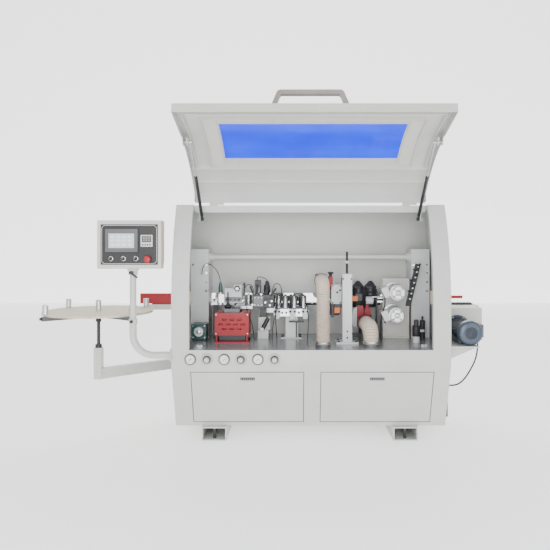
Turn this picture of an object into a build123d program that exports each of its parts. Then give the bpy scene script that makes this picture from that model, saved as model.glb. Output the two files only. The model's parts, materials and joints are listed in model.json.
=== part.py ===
"""Edge banding machine: a steel cabinet with a lift-up hood lid, a row of edge working units on a
deck, a panel conveyor behind them, a swivelling control panel and a rotating tape reel table.

Millimetres, +Z up. X runs along the machine, Y from the front to the back. Every piece is drawn
from the cabinet's own centre line, front face and floor, and is moved at the end so that the
origin lies under the centre of the machine's outline.
"""

import os
from math import atan2, cos, degrees, hypot, pi, radians, sin, tan

from build123d import *

# ---------------------------------------------------------------- driving dimensions
OUTLINE_X = -248.0  # centre of the whole outline, from the cabinet's centre line
OUTLINE_Y = 143.75  # centre of the whole outline, from the cabinet's front face

SHEET = 4.0  # folded sheet
GAP = 4.0  # joint between lid and posts
HALF_WIDTH = 840.0  # cabinet
POST_WIDTH = 106.0  # front band of each end cover
CABINET_BOTTOM = 86.0
SLOPE_TOP = 488.0  # the front face leans back below this height
SLOPE_FOOT_Y = 150.0
DECK_TOP = 581.0
DECK_THICKNESS = 12.0
BASE_BACK = 860.0
HOOD_BACK = 694.0
HOOD_TOP = 1464.0
CURVE_START = 850.0  # the front face is vertical up to here
CURVE_TOP_Y = 165.0
SLOT_TOP = 870.0  # lower edge of the rear wall, above the panel path

HINGE_Y = 238.0
HINGE_Z = 1475.0
LID_OPEN = 105.0  # degrees from closed to the rest position
LID_HALF = 730.0
LID_SHEET = 3.0
LID_LIP = 585.0
CHEEK_DEPTH = 48.0
WINDOW_LOW = 800.0
WINDOW_HIGH = 1190.0
WINDOW_HALF = 524.0

KNUCKLE_RADIUS = 8.0
HINGE_PIN = 4.0
HINGE_XS = (-595.0, 635.0)
HINGE_HALF = 45.0

SPRING_X = 684.0
SPRING_LOW = (215.0, 1376.0)  # Y and Z of the ball stud on the top beam
SPRING_HIGH = (-249.0, 1788.0)  # Y and Z of the ball stud on the open lid
CYLINDER_RADIUS = 10.0
CYLINDER_LENGTH = 330.0
ROD_RADIUS = 4.0

DOORS = {"door_left": (-725.0, -45.0), "door_right": (60.0, 740.0)}
DOOR_TOP = 445.0
DOOR_BOTTOM = 114.0
DOOR_GAP = 1.5
DOOR_DEPTH = 18.0

GAUGE_XS = (-725.0, -522.0, -320.0)
KNOB_XS = (-625.0, -422.0, -220.0)
GAUGE_Z = 526.0
GAUGE_RADIUS = 34.5

CONVEYOR_Y = 780.0
CONVEYOR_TOP = 780.0
CHAIN_TOP = 795.0
CONVEYOR_LEFT = -1130.0
CONVEYOR_RIGHT = 1215.0
PANEL_EDGE_Y = 700.0
PANEL_GAP = 31.0  # chain to pressure wheels at rest
RAIL_TOP = 790.0  # infeed rail, just under the panels

POST_X = -1071.0  # control panel post
POST_Y = 10.0
POST_JOINT_Z = 769.0
POST_RUN_Z = 549.0
POST_BEND = 125.0
PANEL_BOX_X = (-1278.0, -895.0)
PANEL_BOX_Y = (-20.0, 67.0)
PANEL_BOX_Z = (1070.0, 1359.0)

REEL_X = -1367.0
REEL_Y = 295.0
REEL_RADIUS = 344.0
REEL_TOP = 788.0
REEL_ARM_FOOT = (-840.0, 735.0)
REEL_ARM_Z = 347.0

ROLLER_XS = (-192.0, -122.0, -45.0)
BUFF_CENTRES = {"buff_wheel_upper": (571.0, 902.0), "buff_wheel_lower": (565.0, 755.0)}

RUNNING = 0.08  # radial running clearance
AIR = 0.4  # between faces that move past each other

slope_angle = atan2(SLOPE_FOOT_Y, SLOPE_TOP - CABINET_BOTTOM)
curve_rise = HOOD_TOP - CURVE_START
CURVE_RADIUS = (CURVE_TOP_Y**2 + curve_rise**2) / (2 * CURVE_TOP_Y)
SLOPE = Plane(
    origin=(0, 0, SLOPE_TOP), x_dir=(1, 0, 0), z_dir=(0, -cos(slope_angle), -sin(slope_angle))
)

pieces = {}


def keep(builder, name):
    """Label a finished piece and put it on the list of pieces to write."""
    builder.part.label = name
    pieces[name] = builder.part


def block(x, y, z, mode=Mode.ADD):
    """A box from its low and high X, Y and Z."""
    with Locations(((x[0] + x[1]) / 2, (y[0] + y[1]) / 2, (z[0] + z[1]) / 2)):
        Box(x[1] - x[0], y[1] - y[0], z[1] - z[0], mode=mode)


def rod(start, along, radius, length, mode=Mode.ADD):
    """A round bar from a point, along a direction."""
    with BuildSketch(Plane(origin=start, z_dir=along)) as section:
        Circle(radius)
    extrude(section.sketch, amount=length, mode=mode)


def tube(start, along, outer, inner, length):
    """A round tube from a point, along a direction."""
    with BuildSketch(Plane(origin=start, z_dir=along)) as section:
        Circle(outer)
        Circle(inner, mode=Mode.SUBTRACT)
    extrude(section.sketch, amount=length)


def curve_point(inset, height):
    """Y of the curved front at a height, a given depth behind its outer skin."""
    if height <= CURVE_START:
        return inset
    radius = CURVE_RADIUS - inset
    return CURVE_RADIUS - (radius**2 - (height - CURVE_START) ** 2) ** 0.5


# ---------------------------------------------------------------- cabinet and hood
with BuildPart() as base_cabinet:
    with BuildSketch(Plane.YZ.offset(-HALF_WIDTH)):
        with BuildLine():
            Polyline(
                (0, DECK_TOP),
                (0, SLOPE_TOP),
                (SLOPE_FOOT_Y, CABINET_BOTTOM),
                (BASE_BACK, CABINET_BOTTOM),
                (BASE_BACK, DECK_TOP),
                close=True,
            )
        make_face()
    extrude(amount=2 * HALF_WIDTH)
    inner_foot_y = SLOPE_FOOT_Y + SHEET * (1 - sin(slope_angle)) / cos(slope_angle)
    inner_top_z = SLOPE_TOP - SHEET * tan(slope_angle / 2)
    with BuildSketch(Plane.YZ.offset(-HALF_WIDTH + SHEET)):
        with BuildLine():
            Polyline(
                (SHEET, DECK_TOP + 1),
                (SHEET, inner_top_z),
                (inner_foot_y, CABINET_BOTTOM + SHEET),
                (BASE_BACK - SHEET, CABINET_BOTTOM + SHEET),
                (BASE_BACK - SHEET, DECK_TOP + 1),
                close=True,
            )
        make_face()
    extrude(amount=2 * (HALF_WIDTH - SHEET), mode=Mode.SUBTRACT)
    with BuildSketch(Plane.YZ.offset(5.0)):
        with BuildLine():
            Polyline(
                (SHEET, DECK_TOP - DECK_THICKNESS),
                (SHEET, inner_top_z),
                (inner_foot_y, CABINET_BOTTOM + SHEET),
                (BASE_BACK - SHEET, CABINET_BOTTOM + SHEET),
                (BASE_BACK - SHEET, DECK_TOP - DECK_THICKNESS),
                close=True,
            )
        make_face()
    extrude(amount=SHEET)
    door_low = -(SLOPE_TOP - DOOR_BOTTOM) / cos(slope_angle)
    door_high = -(SLOPE_TOP - DOOR_TOP) / cos(slope_angle)
    with BuildSketch(SLOPE.offset(5.0)):
        for left, right in DOORS.values():
            with Locations(((left + right) / 2, (door_low + door_high) / 2)):
                Rectangle(right - left, door_high - door_low)
    extrude(amount=-20.0, mode=Mode.SUBTRACT)
    with BuildSketch(Plane.XZ.offset(5.0)):
        with Locations(*[(x, GAUGE_Z) for x in GAUGE_XS + KNOB_XS]):
            Circle(24.0)
    extrude(amount=-15.0, mode=Mode.SUBTRACT)
keep(base_cabinet, "base_cabinet")

for door_name, (left, right) in DOORS.items():
    with BuildPart() as door:
        centre = ((left + right) / 2, (door_low + door_high) / 2)
        width = right - left - 2 * DOOR_GAP
        height = door_high - door_low - 2 * DOOR_GAP
        with BuildSketch(SLOPE):
            with Locations(centre):
                Rectangle(width, height)
        extrude(amount=-DOOR_DEPTH)
        with BuildSketch(SLOPE.offset(-2.0)):
            with Locations(centre):
                Rectangle(width - 4, height - 4)
        extrude(amount=-DOOR_DEPTH, mode=Mode.SUBTRACT)
    keep(door, door_name)

with BuildPart() as deck_plate:
    block(
        (SHEET - HALF_WIDTH, HALF_WIDTH - SHEET),
        (SHEET, BASE_BACK - SHEET),
        (DECK_TOP - DECK_THICKNESS, DECK_TOP),
    )
    for bumper_x, bumper_y in ((-688.0, 116.0), (708.0, 142.0)):
        with BuildSketch(Plane.XY.offset(DECK_TOP)):
            with Locations((bumper_x, bumper_y)):
                SlotOverall(38, 20)
        extrude(amount=9)
    for side in (-1, 1):
        block(sorted((side * 734, side * 731)), (10, 76), (855, 930))
keep(deck_plate, "deck_plate")


def hood_outline(inset):
    """The hood's side outline, a given depth inside its skin. Call it inside a sketch."""
    curve = CURVE_RADIUS - inset
    top_y = curve_point(inset, HOOD_TOP - inset)
    sweep_angle = degrees(atan2(HOOD_TOP - inset - CURVE_START, CURVE_RADIUS - top_y))
    with BuildLine() as outline_edges:
        Line((inset, DECK_TOP), (inset, CURVE_START))
        CenterArc((CURVE_RADIUS, CURVE_START), curve, 180, -sweep_angle)
        Line((top_y, HOOD_TOP - inset), (HOOD_BACK, HOOD_TOP - inset))
        Line((HOOD_BACK, HOOD_TOP - inset), (HOOD_BACK, DECK_TOP))
        Line((HOOD_BACK, DECK_TOP), (inset, DECK_TOP))
    make_face(outline_edges.edges())


def end_cover(side):
    """A side plate with a curved front band and a return flange. side is -1 left, +1 right."""
    outer = HALF_WIDTH
    inner = HALF_WIDTH - POST_WIDTH
    with BuildPart() as cover:
        with BuildSketch(Plane.YZ.offset(side * outer)):
            hood_outline(0)
        extrude(amount=-side * POST_WIDTH)
        with BuildSketch(Plane.YZ.offset(side * (outer - SHEET))):
            hood_outline(SHEET)
        extrude(amount=-side * (POST_WIDTH - 2 * SHEET), mode=Mode.SUBTRACT)
        flange_depth = 34.0
        with BuildSketch(Plane.YZ.offset(side * (inner + SHEET))):
            hood_outline(flange_depth)
        extrude(amount=-side * (SHEET + 1), mode=Mode.SUBTRACT)
        block(
            sorted((side * (outer - SHEET), side * (inner - 1))),
            (SHEET + 30, HOOD_BACK + 1),
            (DECK_TOP - 1, DECK_TOP + 0.5),
            mode=Mode.SUBTRACT,
        )
        block(
            sorted((side * (outer - SHEET), side * (inner - 1))),
            (HOOD_BACK - SHEET - 0.5, HOOD_BACK + 1),
            (DECK_TOP - 1, HOOD_TOP - SHEET),
            mode=Mode.SUBTRACT,
        )
    return cover


keep(end_cover(-1), "end_cover_left")
keep(end_cover(1), "end_cover_right")

with BuildPart() as hood_back:
    wall_half = HALF_WIDTH - SHEET - 0.5
    roof_half = HALF_WIDTH - POST_WIDTH - 0.5
    block((-wall_half, wall_half), (HOOD_BACK - SHEET, HOOD_BACK), (SLOT_TOP, HOOD_TOP - SHEET))
    block((-roof_half, roof_half), (HINGE_Y + GAP, HOOD_BACK), (HOOD_TOP - SHEET, HOOD_TOP))
    for slot_x in (-728.0, 747.0):
        block((slot_x - 20, slot_x + 20), (HOOD_BACK - 10, HOOD_BACK + 10), (885, 1075), Mode.SUBTRACT)
    beam_y = (HINGE_Y + GAP, HINGE_Y + GAP + 88)
    beam_z = (HOOD_TOP - SHEET - 40, HOOD_TOP - SHEET)
    block((-roof_half, roof_half), beam_y, beam_z)
    block(
        (-roof_half - 1, roof_half + 1),
        (beam_y[0] + SHEET, beam_y[1] - SHEET),
        (beam_z[0] + SHEET, beam_z[1] - SHEET),
        mode=Mode.SUBTRACT,
    )
    for side in (-1, 1):
        bracket_x = side * (SPRING_X + 22)
        with BuildSketch(Plane.YZ.offset(bracket_x)):
            with BuildLine():
                Polyline(
                    (beam_y[0] + 50, beam_z[0]),
                    (SPRING_LOW[0] - 14, SPRING_LOW[1] + 4),
                    (SPRING_LOW[0] - 2, SPRING_LOW[1] - 16),
                    (SPRING_LOW[0] + 16, SPRING_LOW[1] - 12),
                    (beam_y[1], beam_z[0]),
                    close=True,
                )
            make_face()
        extrude(amount=side * 5)
        rod((bracket_x, *SPRING_LOW), (-side, 0, 0), 5.0, 28.0)
    for hinge_x in HINGE_XS:
        low, high = hinge_x - HINGE_HALF, hinge_x - AIR / 2
        rod((low, HINGE_Y, HINGE_Z), (1, 0, 0), KNUCKLE_RADIUS, high - low)
        block((low, high), (HINGE_Y + GAP + 1, HINGE_Y + 44), (HOOD_TOP, HOOD_TOP + 4))
        block((low, high), (HINGE_Y, HINGE_Y + GAP + 6), (HOOD_TOP + 3.2, HINGE_Z))
        rod((hinge_x - 1, HINGE_Y, HINGE_Z), (1, 0, 0), HINGE_PIN, HINGE_HALF)
keep(hood_back, "hood_back")

with BuildPart() as feet:
    for foot_x in (-598.0, 588.0):
        block((foot_x - 77, foot_x + 77), (118, BASE_BACK - 10), (0, CABINET_BOTTOM))
        block((foot_x - 69, foot_x + 69), (117, BASE_BACK), (8, CABINET_BOTTOM - 8), Mode.SUBTRACT)
    for foot_x in (-598.0, 588.0):
        for bolt_y in (150.0, 800.0):
            rod((foot_x, bolt_y, 8), (0, 0, 1), 8.0, CABINET_BOTTOM - 16)
            with BuildSketch(Plane.XY.offset(48)):
                with Locations((foot_x, bolt_y)):
                    RegularPolygon(15.5, 6)
            extrude(amount=16)
keep(feet, "feet")

# ---------------------------------------------------------------- lid
lid_turn = radians(-LID_OPEN)


def lid_plane(x):
    """A section plane of the lid, drawn as if the lid were closed, from its hinge axis."""
    return Plane(
        origin=(x, HINGE_Y, HINGE_Z), x_dir=(0, cos(lid_turn), sin(lid_turn)), z_dir=(1, 0, 0)
    )


def closed(y, z):
    """A closed lid point, measured from the hinge axis."""
    return (y - HINGE_Y, z - HINGE_Z)


def opened(y, z):
    """Where a closed lid point lies on the open lid, as Y and Z."""
    dy, dz = closed(y, z)
    return (
        HINGE_Y + dy * cos(lid_turn) - dz * sin(lid_turn),
        HINGE_Z + dy * sin(lid_turn) + dz * cos(lid_turn),
    )


def lid_strip(outer, inner, low, high, with_top=False):
    """A closed band of the lid's profile between two depths and two heights."""
    rear_y = HINGE_Y - 2.0
    far = CURVE_RADIUS - outer
    near = CURVE_RADIUS - inner
    centre = closed(CURVE_RADIUS, CURVE_START)
    top_outer = HOOD_TOP - outer if with_top else high
    top_inner = HOOD_TOP - inner if with_top else high
    outer_angle = degrees(atan2(top_outer - CURVE_START, CURVE_RADIUS - curve_point(outer, top_outer)))
    inner_angle = degrees(atan2(top_inner - CURVE_START, CURVE_RADIUS - curve_point(inner, top_inner)))
    start_low = low > CURVE_START
    outer_low = closed(curve_point(outer, low), low)
    inner_low = closed(curve_point(inner, low), low)
    skip_outer = degrees(atan2(low - CURVE_START, CURVE_RADIUS - curve_point(outer, low))) * start_low
    skip_inner = degrees(atan2(low - CURVE_START, CURVE_RADIUS - curve_point(inner, low))) * start_low
    with BuildLine() as strip_edges:
        if not start_low:
            Line(outer_low, closed(outer, CURVE_START))
            Line(inner_low, closed(inner, CURVE_START))
        CenterArc(centre, far, 180 - skip_outer, skip_outer - outer_angle)
        CenterArc(centre, near, 180 - skip_inner, skip_inner - inner_angle)
        if with_top:
            Line(closed(curve_point(outer, top_outer), top_outer), closed(rear_y, top_outer))
            Line(closed(curve_point(inner, top_inner), top_inner), closed(rear_y, top_inner))
            Line(closed(rear_y, top_outer), closed(rear_y, top_inner))
        else:
            Line(closed(curve_point(outer, high), high), closed(curve_point(inner, high), high))
        Line(outer_low, inner_low)
    make_face(strip_edges.edges())


with BuildPart() as lid_shell:
    with BuildSketch(lid_plane(-LID_HALF)):
        lid_strip(0, LID_SHEET, LID_LIP, HOOD_TOP, with_top=True)
    extrude(amount=2 * LID_HALF)
    for cheek_x in (-LID_HALF, LID_HALF - LID_SHEET):
        with BuildSketch(lid_plane(cheek_x)):
            lid_strip(0, CHEEK_DEPTH, LID_LIP, HOOD_TOP, with_top=True)
        extrude(amount=LID_SHEET)
    with BuildSketch(lid_plane(-LID_HALF)):
        with BuildLine():
            Polyline(
                closed(0, LID_LIP),
                closed(CHEEK_DEPTH, LID_LIP),
                closed(CHEEK_DEPTH, LID_LIP + LID_SHEET),
                closed(0, LID_LIP + LID_SHEET),
                close=True,
            )
        make_face()
    extrude(amount=2 * LID_HALF)
    with BuildSketch(lid_plane(-WINDOW_HALF)):
        lid_strip(-1, LID_SHEET + 1, WINDOW_LOW, WINDOW_HIGH)
    extrude(amount=2 * WINDOW_HALF, mode=Mode.SUBTRACT)
    for side in (-1, 1):
        with BuildSketch(lid_plane(side * (LID_HALF - LID_SHEET))):
            stud = (
                (SPRING_HIGH[0] - HINGE_Y) * cos(lid_turn) + (SPRING_HIGH[1] - HINGE_Z) * sin(lid_turn),
                -(SPRING_HIGH[0] - HINGE_Y) * sin(lid_turn) + (SPRING_HIGH[1] - HINGE_Z) * cos(lid_turn),
            )
            cheek_edge = curve_point(CHEEK_DEPTH - 8, stud[1] + HINGE_Z) - HINGE_Y
            with BuildLine():
                Polyline(
                    (cheek_edge, stud[1] + 45),
                    (stud[0] + 16, stud[1] + 14),
                    (stud[0] + 16, stud[1] - 14),
                    (cheek_edge, stud[1] - 45),
                    close=True,
                )
            make_face()
        extrude(amount=-side * 5)
        rod(
            (side * (LID_HALF - LID_SHEET - 5), *SPRING_HIGH),
            (-side, 0, 0),
            5.0,
            LID_HALF - LID_SHEET - 5 - SPRING_X - 10.5,
        )
    for hinge_x in HINGE_XS:
        with BuildSketch(lid_plane(hinge_x + AIR / 2)):
            Circle(KNUCKLE_RADIUS)
            with Locations((-13, HOOD_TOP - HINGE_Z + 3.2)):
                Rectangle(26, 6.4)
            Circle(HINGE_PIN + RUNNING, mode=Mode.SUBTRACT)
        extrude(amount=HINGE_HALF - AIR)
keep(lid_shell, "lid_shell")

FRAME_WIDTH = 34.0
FRAME_THICKNESS = 4.0
with BuildPart() as lid_window_frame:
    with BuildSketch(lid_plane(-WINDOW_HALF - FRAME_WIDTH)):
        lid_strip(
            LID_SHEET, LID_SHEET + FRAME_THICKNESS, WINDOW_LOW - FRAME_WIDTH, WINDOW_HIGH + FRAME_WIDTH
        )
    extrude(amount=2 * (WINDOW_HALF + FRAME_WIDTH))
    with BuildSketch(lid_plane(-WINDOW_HALF + 8)):
        lid_strip(LID_SHEET - 1, LID_SHEET + FRAME_THICKNESS + 1, WINDOW_LOW + 8, WINDOW_HIGH - 8)
    extrude(amount=2 * (WINDOW_HALF - 8), mode=Mode.SUBTRACT)
keep(lid_window_frame, "lid_window_frame")

with BuildPart() as lid_window:
    with BuildSketch(lid_plane(-WINDOW_HALF + 0.5)):
        lid_strip(0, LID_SHEET, WINDOW_LOW + 0.5, WINDOW_HIGH - 0.5)
    extrude(amount=2 * WINDOW_HALF - 1)
keep(lid_window, "lid_window")

HANDLE_LENGTH = 408.0
HANDLE_STAND = 92.0
HANDLE_BAR = 24.0
HANDLE_X = -20.0
HANDLE_Z = 624.0
handle_plane = Plane(
    origin=(HANDLE_X, *opened(0, HANDLE_Z)),
    x_dir=(1, 0, 0),
    z_dir=(0, -sin(lid_turn), cos(lid_turn)),
)
with BuildPart() as lid_handle:
    with BuildSketch(handle_plane):
        with BuildLine():
            half = HANDLE_LENGTH / 2
            outer = FilletPolyline(
                (-half, 0), (-half + 34, -HANDLE_STAND), (half - 34, -HANDLE_STAND), (half, 0), radius=26
            )
            inner = FilletPolyline(
                (-half + 26, 0),
                (-half + 26 + 24, HANDLE_BAR - HANDLE_STAND),
                (half - 26 - 24, HANDLE_BAR - HANDLE_STAND),
                (half - 26, 0),
                radius=12,
            )
            Line(outer @ 0, inner @ 0)
            Line(outer @ 1, inner @ 1)
        make_face()
    extrude(amount=14.5, both=True)
keep(lid_handle, "lid_handle")

# ---------------------------------------------------------------- gas springs
spring_run = (SPRING_HIGH[0] - SPRING_LOW[0], SPRING_HIGH[1] - SPRING_LOW[1])
spring_length = hypot(*spring_run)
spring_dir = (0, spring_run[0] / spring_length, spring_run[1] / spring_length)


def along_spring(x, distance):
    """A point on a gas spring's centre line, from its lower stud."""
    return (x, SPRING_LOW[0] + spring_dir[1] * distance, SPRING_LOW[1] + spring_dir[2] * distance)


for side, side_name in ((-1, "left"), (1, "right")):
    spring_x = side * SPRING_X
    with BuildPart() as cylinder:
        rod((spring_x - 9, *SPRING_LOW), (1, 0, 0), 11.0, 18.0)
        rod(along_spring(spring_x, 6), spring_dir, 7.0, 30.0)
        rod(along_spring(spring_x, 30), spring_dir, CYLINDER_RADIUS, CYLINDER_LENGTH)
        rod(
            along_spring(spring_x, 40),
            spring_dir,
            ROD_RADIUS + RUNNING,
            CYLINDER_LENGTH,
            mode=Mode.SUBTRACT,
        )
        rod((spring_x - 10, *SPRING_LOW), (1, 0, 0), 5.0 + RUNNING, 20.0, mode=Mode.SUBTRACT)
    keep(cylinder, f"gas_cylinder_{side_name}")
    rod_start = 190.0
    with BuildPart() as spring_rod:
        rod(along_spring(spring_x, rod_start), spring_dir, ROD_RADIUS, spring_length - rod_start - 6)
        rod(along_spring(spring_x, spring_length - 34), spring_dir, 7.0, 28.0)
        rod((spring_x - 9, *SPRING_HIGH), (1, 0, 0), 9.0, 18.0)
    keep(spring_rod, f"gas_rod_{side_name}")

# ---------------------------------------------------------------- gauges and regulators
with BuildPart() as pressure_gauges:
    for gauge_x in GAUGE_XS:
        rod((gauge_x, 0, GAUGE_Z), (0, -1, 0), GAUGE_RADIUS, 8.0)
        rod((gauge_x, -8, GAUGE_Z), (0, -1, 0), GAUGE_RADIUS - 5, 5.0)
        rod((gauge_x, 0, GAUGE_Z), (0, 1, 0), 23.0, 42.0)
    for knob_x in KNOB_XS:
        rod((knob_x, 0, GAUGE_Z), (0, -1, 0), GAUGE_RADIUS, 6.0)
        rod((knob_x, 0, GAUGE_Z), (0, 1, 0), 23.0, 60.0)
        rod((knob_x, -6, GAUGE_Z), (0, -1, 0), 8.0, 12.0)
keep(pressure_gauges, "pressure_gauges")

for number, knob_x in enumerate(KNOB_XS, 1):
    with BuildPart() as knob:
        rod((knob_x, -6 - AIR, GAUGE_Z), (0, -1, 0), 25.0, 30.0)
        rod((knob_x, -6, GAUGE_Z), (0, -1, 0), 8.0 + RUNNING, 13.0, mode=Mode.SUBTRACT)
    keep(knob, f"regulator_knob_{number}")

# ---------------------------------------------------------------- conveyor and pressure beam
with BuildPart() as conveyor_beam:
    beam_low = 640.0
    block((-HALF_WIDTH, CONVEYOR_RIGHT), (PANEL_EDGE_Y, BASE_BACK), (beam_low, CONVEYOR_TOP))
    block(
        (-HALF_WIDTH - 1, CONVEYOR_RIGHT + 1),
        (PANEL_EDGE_Y + 6, BASE_BACK - 6),
        (beam_low + 6, CONVEYOR_TOP - 6),
        mode=Mode.SUBTRACT,
    )
    block((-830, 830), (PANEL_EDGE_Y, PANEL_EDGE_Y + 6), (DECK_TOP, beam_low + 6))
    block((CONVEYOR_LEFT, 6 - HALF_WIDTH), (PANEL_EDGE_Y, 820), (753, CONVEYOR_TOP))
    block((CONVEYOR_LEFT, -HALF_WIDTH - 2), (672, PANEL_EDGE_Y + 1), (753, RAIL_TOP))
    for bolt_x in (-1080.0, -900.0):
        rod((bolt_x, 672, 771), (0, -1, 0), 9.0, 8.0)
    for pedestal_x in (-700.0, 0.0, 700.0):
        block((pedestal_x - 60, pedestal_x + 60), (720, 840), (DECK_TOP, beam_low))
keep(conveyor_beam, "conveyor_beam")

with BuildPart() as conveyor_chain:
    chain_left = CONVEYOR_LEFT + 10
    pad_pitch = 50.0
    pad_count = int((CONVEYOR_RIGHT - 10 - chain_left) / pad_pitch)
    block((chain_left, chain_left + pad_count * pad_pitch), (745, 815), (CONVEYOR_TOP, CHAIN_TOP))
    for number in range(1, pad_count):
        groove_x = chain_left + number * pad_pitch
        block((groove_x - 3, groove_x + 3), (740, 820), (CHAIN_TOP - 8, CHAIN_TOP + 1), Mode.SUBTRACT)
keep(conveyor_chain, "conveyor_chain")

with BuildPart() as infeed_fence:
    block((-1194, -HALF_WIDTH - 2), (686, PANEL_EDGE_Y - 1), (RAIL_TOP + 6, 868))
    block((-1110, -870), (686, PANEL_EDGE_Y - 1), (RAIL_TOP, RAIL_TOP + 6))
    block((HALF_WIDTH + 2, 1098), (690, PANEL_EDGE_Y - 1), (832, 852))
    block((HALF_WIDTH + 2, 880), (690, PANEL_EDGE_Y - 1), (770, 832))
keep(infeed_fence, "infeed_fence")

wheel_low = CHAIN_TOP + PANEL_GAP
ARM_SHIM = 0.2  # thickness of the joint between each lift arm and the beam
WHEEL_RADIUS = 35.0
with BuildPart() as pressure_beam:
    block((-830, 830), (720, 840), (wheel_low + 45, wheel_low + 130))
    for arm_x in (-728.0, 747.0):
        block((arm_x - 14, arm_x + 14), (610, 720 - ARM_SHIM), (wheel_low + 95, wheel_low + 125))
    wheel_count = 12
    for number in range(wheel_count):
        wheel_x = -770 + number * 1540 / (wheel_count - 1)
        rod((wheel_x, 750, wheel_low + WHEEL_RADIUS), (0, 1, 0), WHEEL_RADIUS, 60.0)
keep(pressure_beam, "pressure_beam")

COLUMN_Y = (500.0, 680.0)
COLUMN_TOP = 1183.0
SHAFT_Y = 560.0
SHAFT_Z = 1129.0
COLUMNS = ((-805.0, -683.0), (696.0, 820.0))
SHAFT_RADIUS = 17.0
with BuildPart() as lift_columns:
    for left, right in COLUMNS:
        block((left, right), COLUMN_Y, (DECK_TOP, COLUMN_TOP))
        inside_z = (DECK_TOP - 1, COLUMN_TOP + 1)
        block((left + 5, right - 5), (COLUMN_Y[0] + 5, COLUMN_Y[1] + 1), inside_z, Mode.SUBTRACT)
        with BuildSketch(Plane.XZ.offset(-COLUMN_Y[0] + 1)):
            with Locations(*[(right - 16, z) for z in (898, 960, 1021, 1077)], (left + 16, 1077)):
                Circle(7)
        extrude(amount=-7, mode=Mode.SUBTRACT)
        inner_face = right if left < 0 else left
        direction = 1 if left < 0 else -1
        rod((inner_face, SHAFT_Y, SHAFT_Z), (direction, 0, 0), 32.0, 12.0)
        rod(
            (inner_face - direction * 6, SHAFT_Y, SHAFT_Z),
            (direction, 0, 0),
            SHAFT_RADIUS + RUNNING,
            20.0,
            mode=Mode.SUBTRACT,
        )
keep(lift_columns, "lift_columns")

with BuildPart() as sync_shaft:
    shaft_length = COLUMNS[1][0] - COLUMNS[0][1] + 8
    rod((COLUMNS[0][1] - 4, SHAFT_Y, SHAFT_Z), (1, 0, 0), SHAFT_RADIUS, shaft_length)
    rod((COLUMNS[0][1] + 13, SHAFT_Y, SHAFT_Z), (1, 0, 0), 24.0, 16.0)
    rod((COLUMNS[1][0] - 13, SHAFT_Y, SHAFT_Z), (-1, 0, 0), 24.0, 16.0)
keep(sync_shaft, "sync_shaft")

# ---------------------------------------------------------------- edge working units on the deck
with BuildPart() as glue_guard:
    block((-614, -395), (283, 480), (627, 774))
    block((-610, -399), (287, 476), (626, 770), mode=Mode.SUBTRACT)
    block((-560, -450), (300, 481), (769, 775), mode=Mode.SUBTRACT)
    for leg_x in (-606.0, -411.0):
        block((leg_x, leg_x + 8), (283, 291), (589, 640))
    block((-614, -395), (275, 470), (DECK_TOP, 589))
    with BuildSketch(Plane.XZ.offset(-280)):
        for row, count in ((670, 3), (700, 4), (730, 3)):
            with Locations((-504, row)):
                with GridLocations(48, 1, count, 1):
                    SlotOverall(32, 12)
    extrude(amount=-10, mode=Mode.SUBTRACT)
keep(glue_guard, "glue_guard")

with BuildPart() as tape_feed_unit:
    block((-590, -420), (320, 460), (589, 626))
    block((-555, -455), (305, 455), (626, 800))
    block((-500, -380), (470, 650), (780, 800))
    block((-500, -455), (450, 480), (770, 800))
    rod((-420, 640, 800), (0, 0, 1), 8.0, 70.0)
    block((-664, -510), (480, 670), (806, 818))
    block((-660, -630), (560, 600), (DECK_TOP, 806))
    block((-640, -520), (500, 560), (818, 872))
    block((-600, -440), (372, 430), (830, 890))
    block((-600, -560), (430, 500), (830, 860))
    rod((-474, 372, 926), (0, -1, 0), 6.0, 40.0)
    block((-500, -448), (372, 400), (890, 948))
    rod((-590, 400, 890), (0, 0, 1), 14.0, 75.0)
keep(tape_feed_unit, "tape_feed_unit")

with BuildPart() as glue_roller:
    tube((-420, 640, 800 + AIR), (0, 0, 1), 28.0, 8.0 + RUNNING, 62.0)
keep(glue_roller, "glue_roller")

with BuildPart() as feed_motor:
    block((-780, -680), (370, 480), (DECK_TOP + 9, 690))
    block((-775, -685), (375, 475), (DECK_TOP, DECK_TOP + 9))
    rod((-730, 370, 640), (0, -1, 0), 32.0, 14.0)
    rod((-730, 356, 640), (0, -1, 0), 12.0, 8.0)
keep(feed_motor, "feed_motor")

with BuildPart() as tension_knob:
    with BuildSketch(Plane.XZ.offset(-350)):
        with Locations((-474, 926)):
            Circle(17)
            with PolarLocations(15, 6):
                Circle(6)
            Circle(6 + RUNNING, mode=Mode.SUBTRACT)
    extrude(amount=18)
keep(tension_knob, "tension_knob")

with BuildPart() as tape_cutter:
    block((-345, -275), (450, 560), (DECK_TOP, 640))
    block((-330, -290), (470, 540), (640, 790))
    block((-380, -235), (420, 560), (790, 880))
    block((-365, -325), (430, 500), (880, 975))
    rod((-285, 470, 880), (0, 0, 1), 20.0, 90.0)
    block((-375, -300), (560, 640), (810, 822))
    block((-330, -322), (640, 690), (812, 868))
keep(tape_cutter, "tape_cutter")

ROLLER_Y = 668.0
ROLLER_BASE = 784.0
with BuildPart() as press_unit:
    block((-190, -50), (456, 556), (DECK_TOP, 589))
    block((-158, -76), (470, 545), (589, 732))
    block((-232, -8), (440, 689), (732, ROLLER_BASE))
    block((-305, -232), (600, 689), (740, ROLLER_BASE))
    for roller_x in ROLLER_XS + (-262.0,):
        rod((roller_x, ROLLER_Y, ROLLER_BASE), (0, 0, 1), 8.0, 76.0)
    for bolt_x in (-190.0, -150.0, -85.0, -45.0):
        rod((bolt_x, 440, 754), (0, -1, 0), 8.0, 7.0)
    for boss_x in (-160.0, -78.0):
        with BuildSketch(Plane.XY.offset(ROLLER_BASE)):
            with BuildLine():
                Polyline((boss_x - 24, 450), (boss_x + 24, 450), (boss_x, 500), close=True)
            make_face()
        extrude(amount=18)
keep(press_unit, "press_unit")

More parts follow.
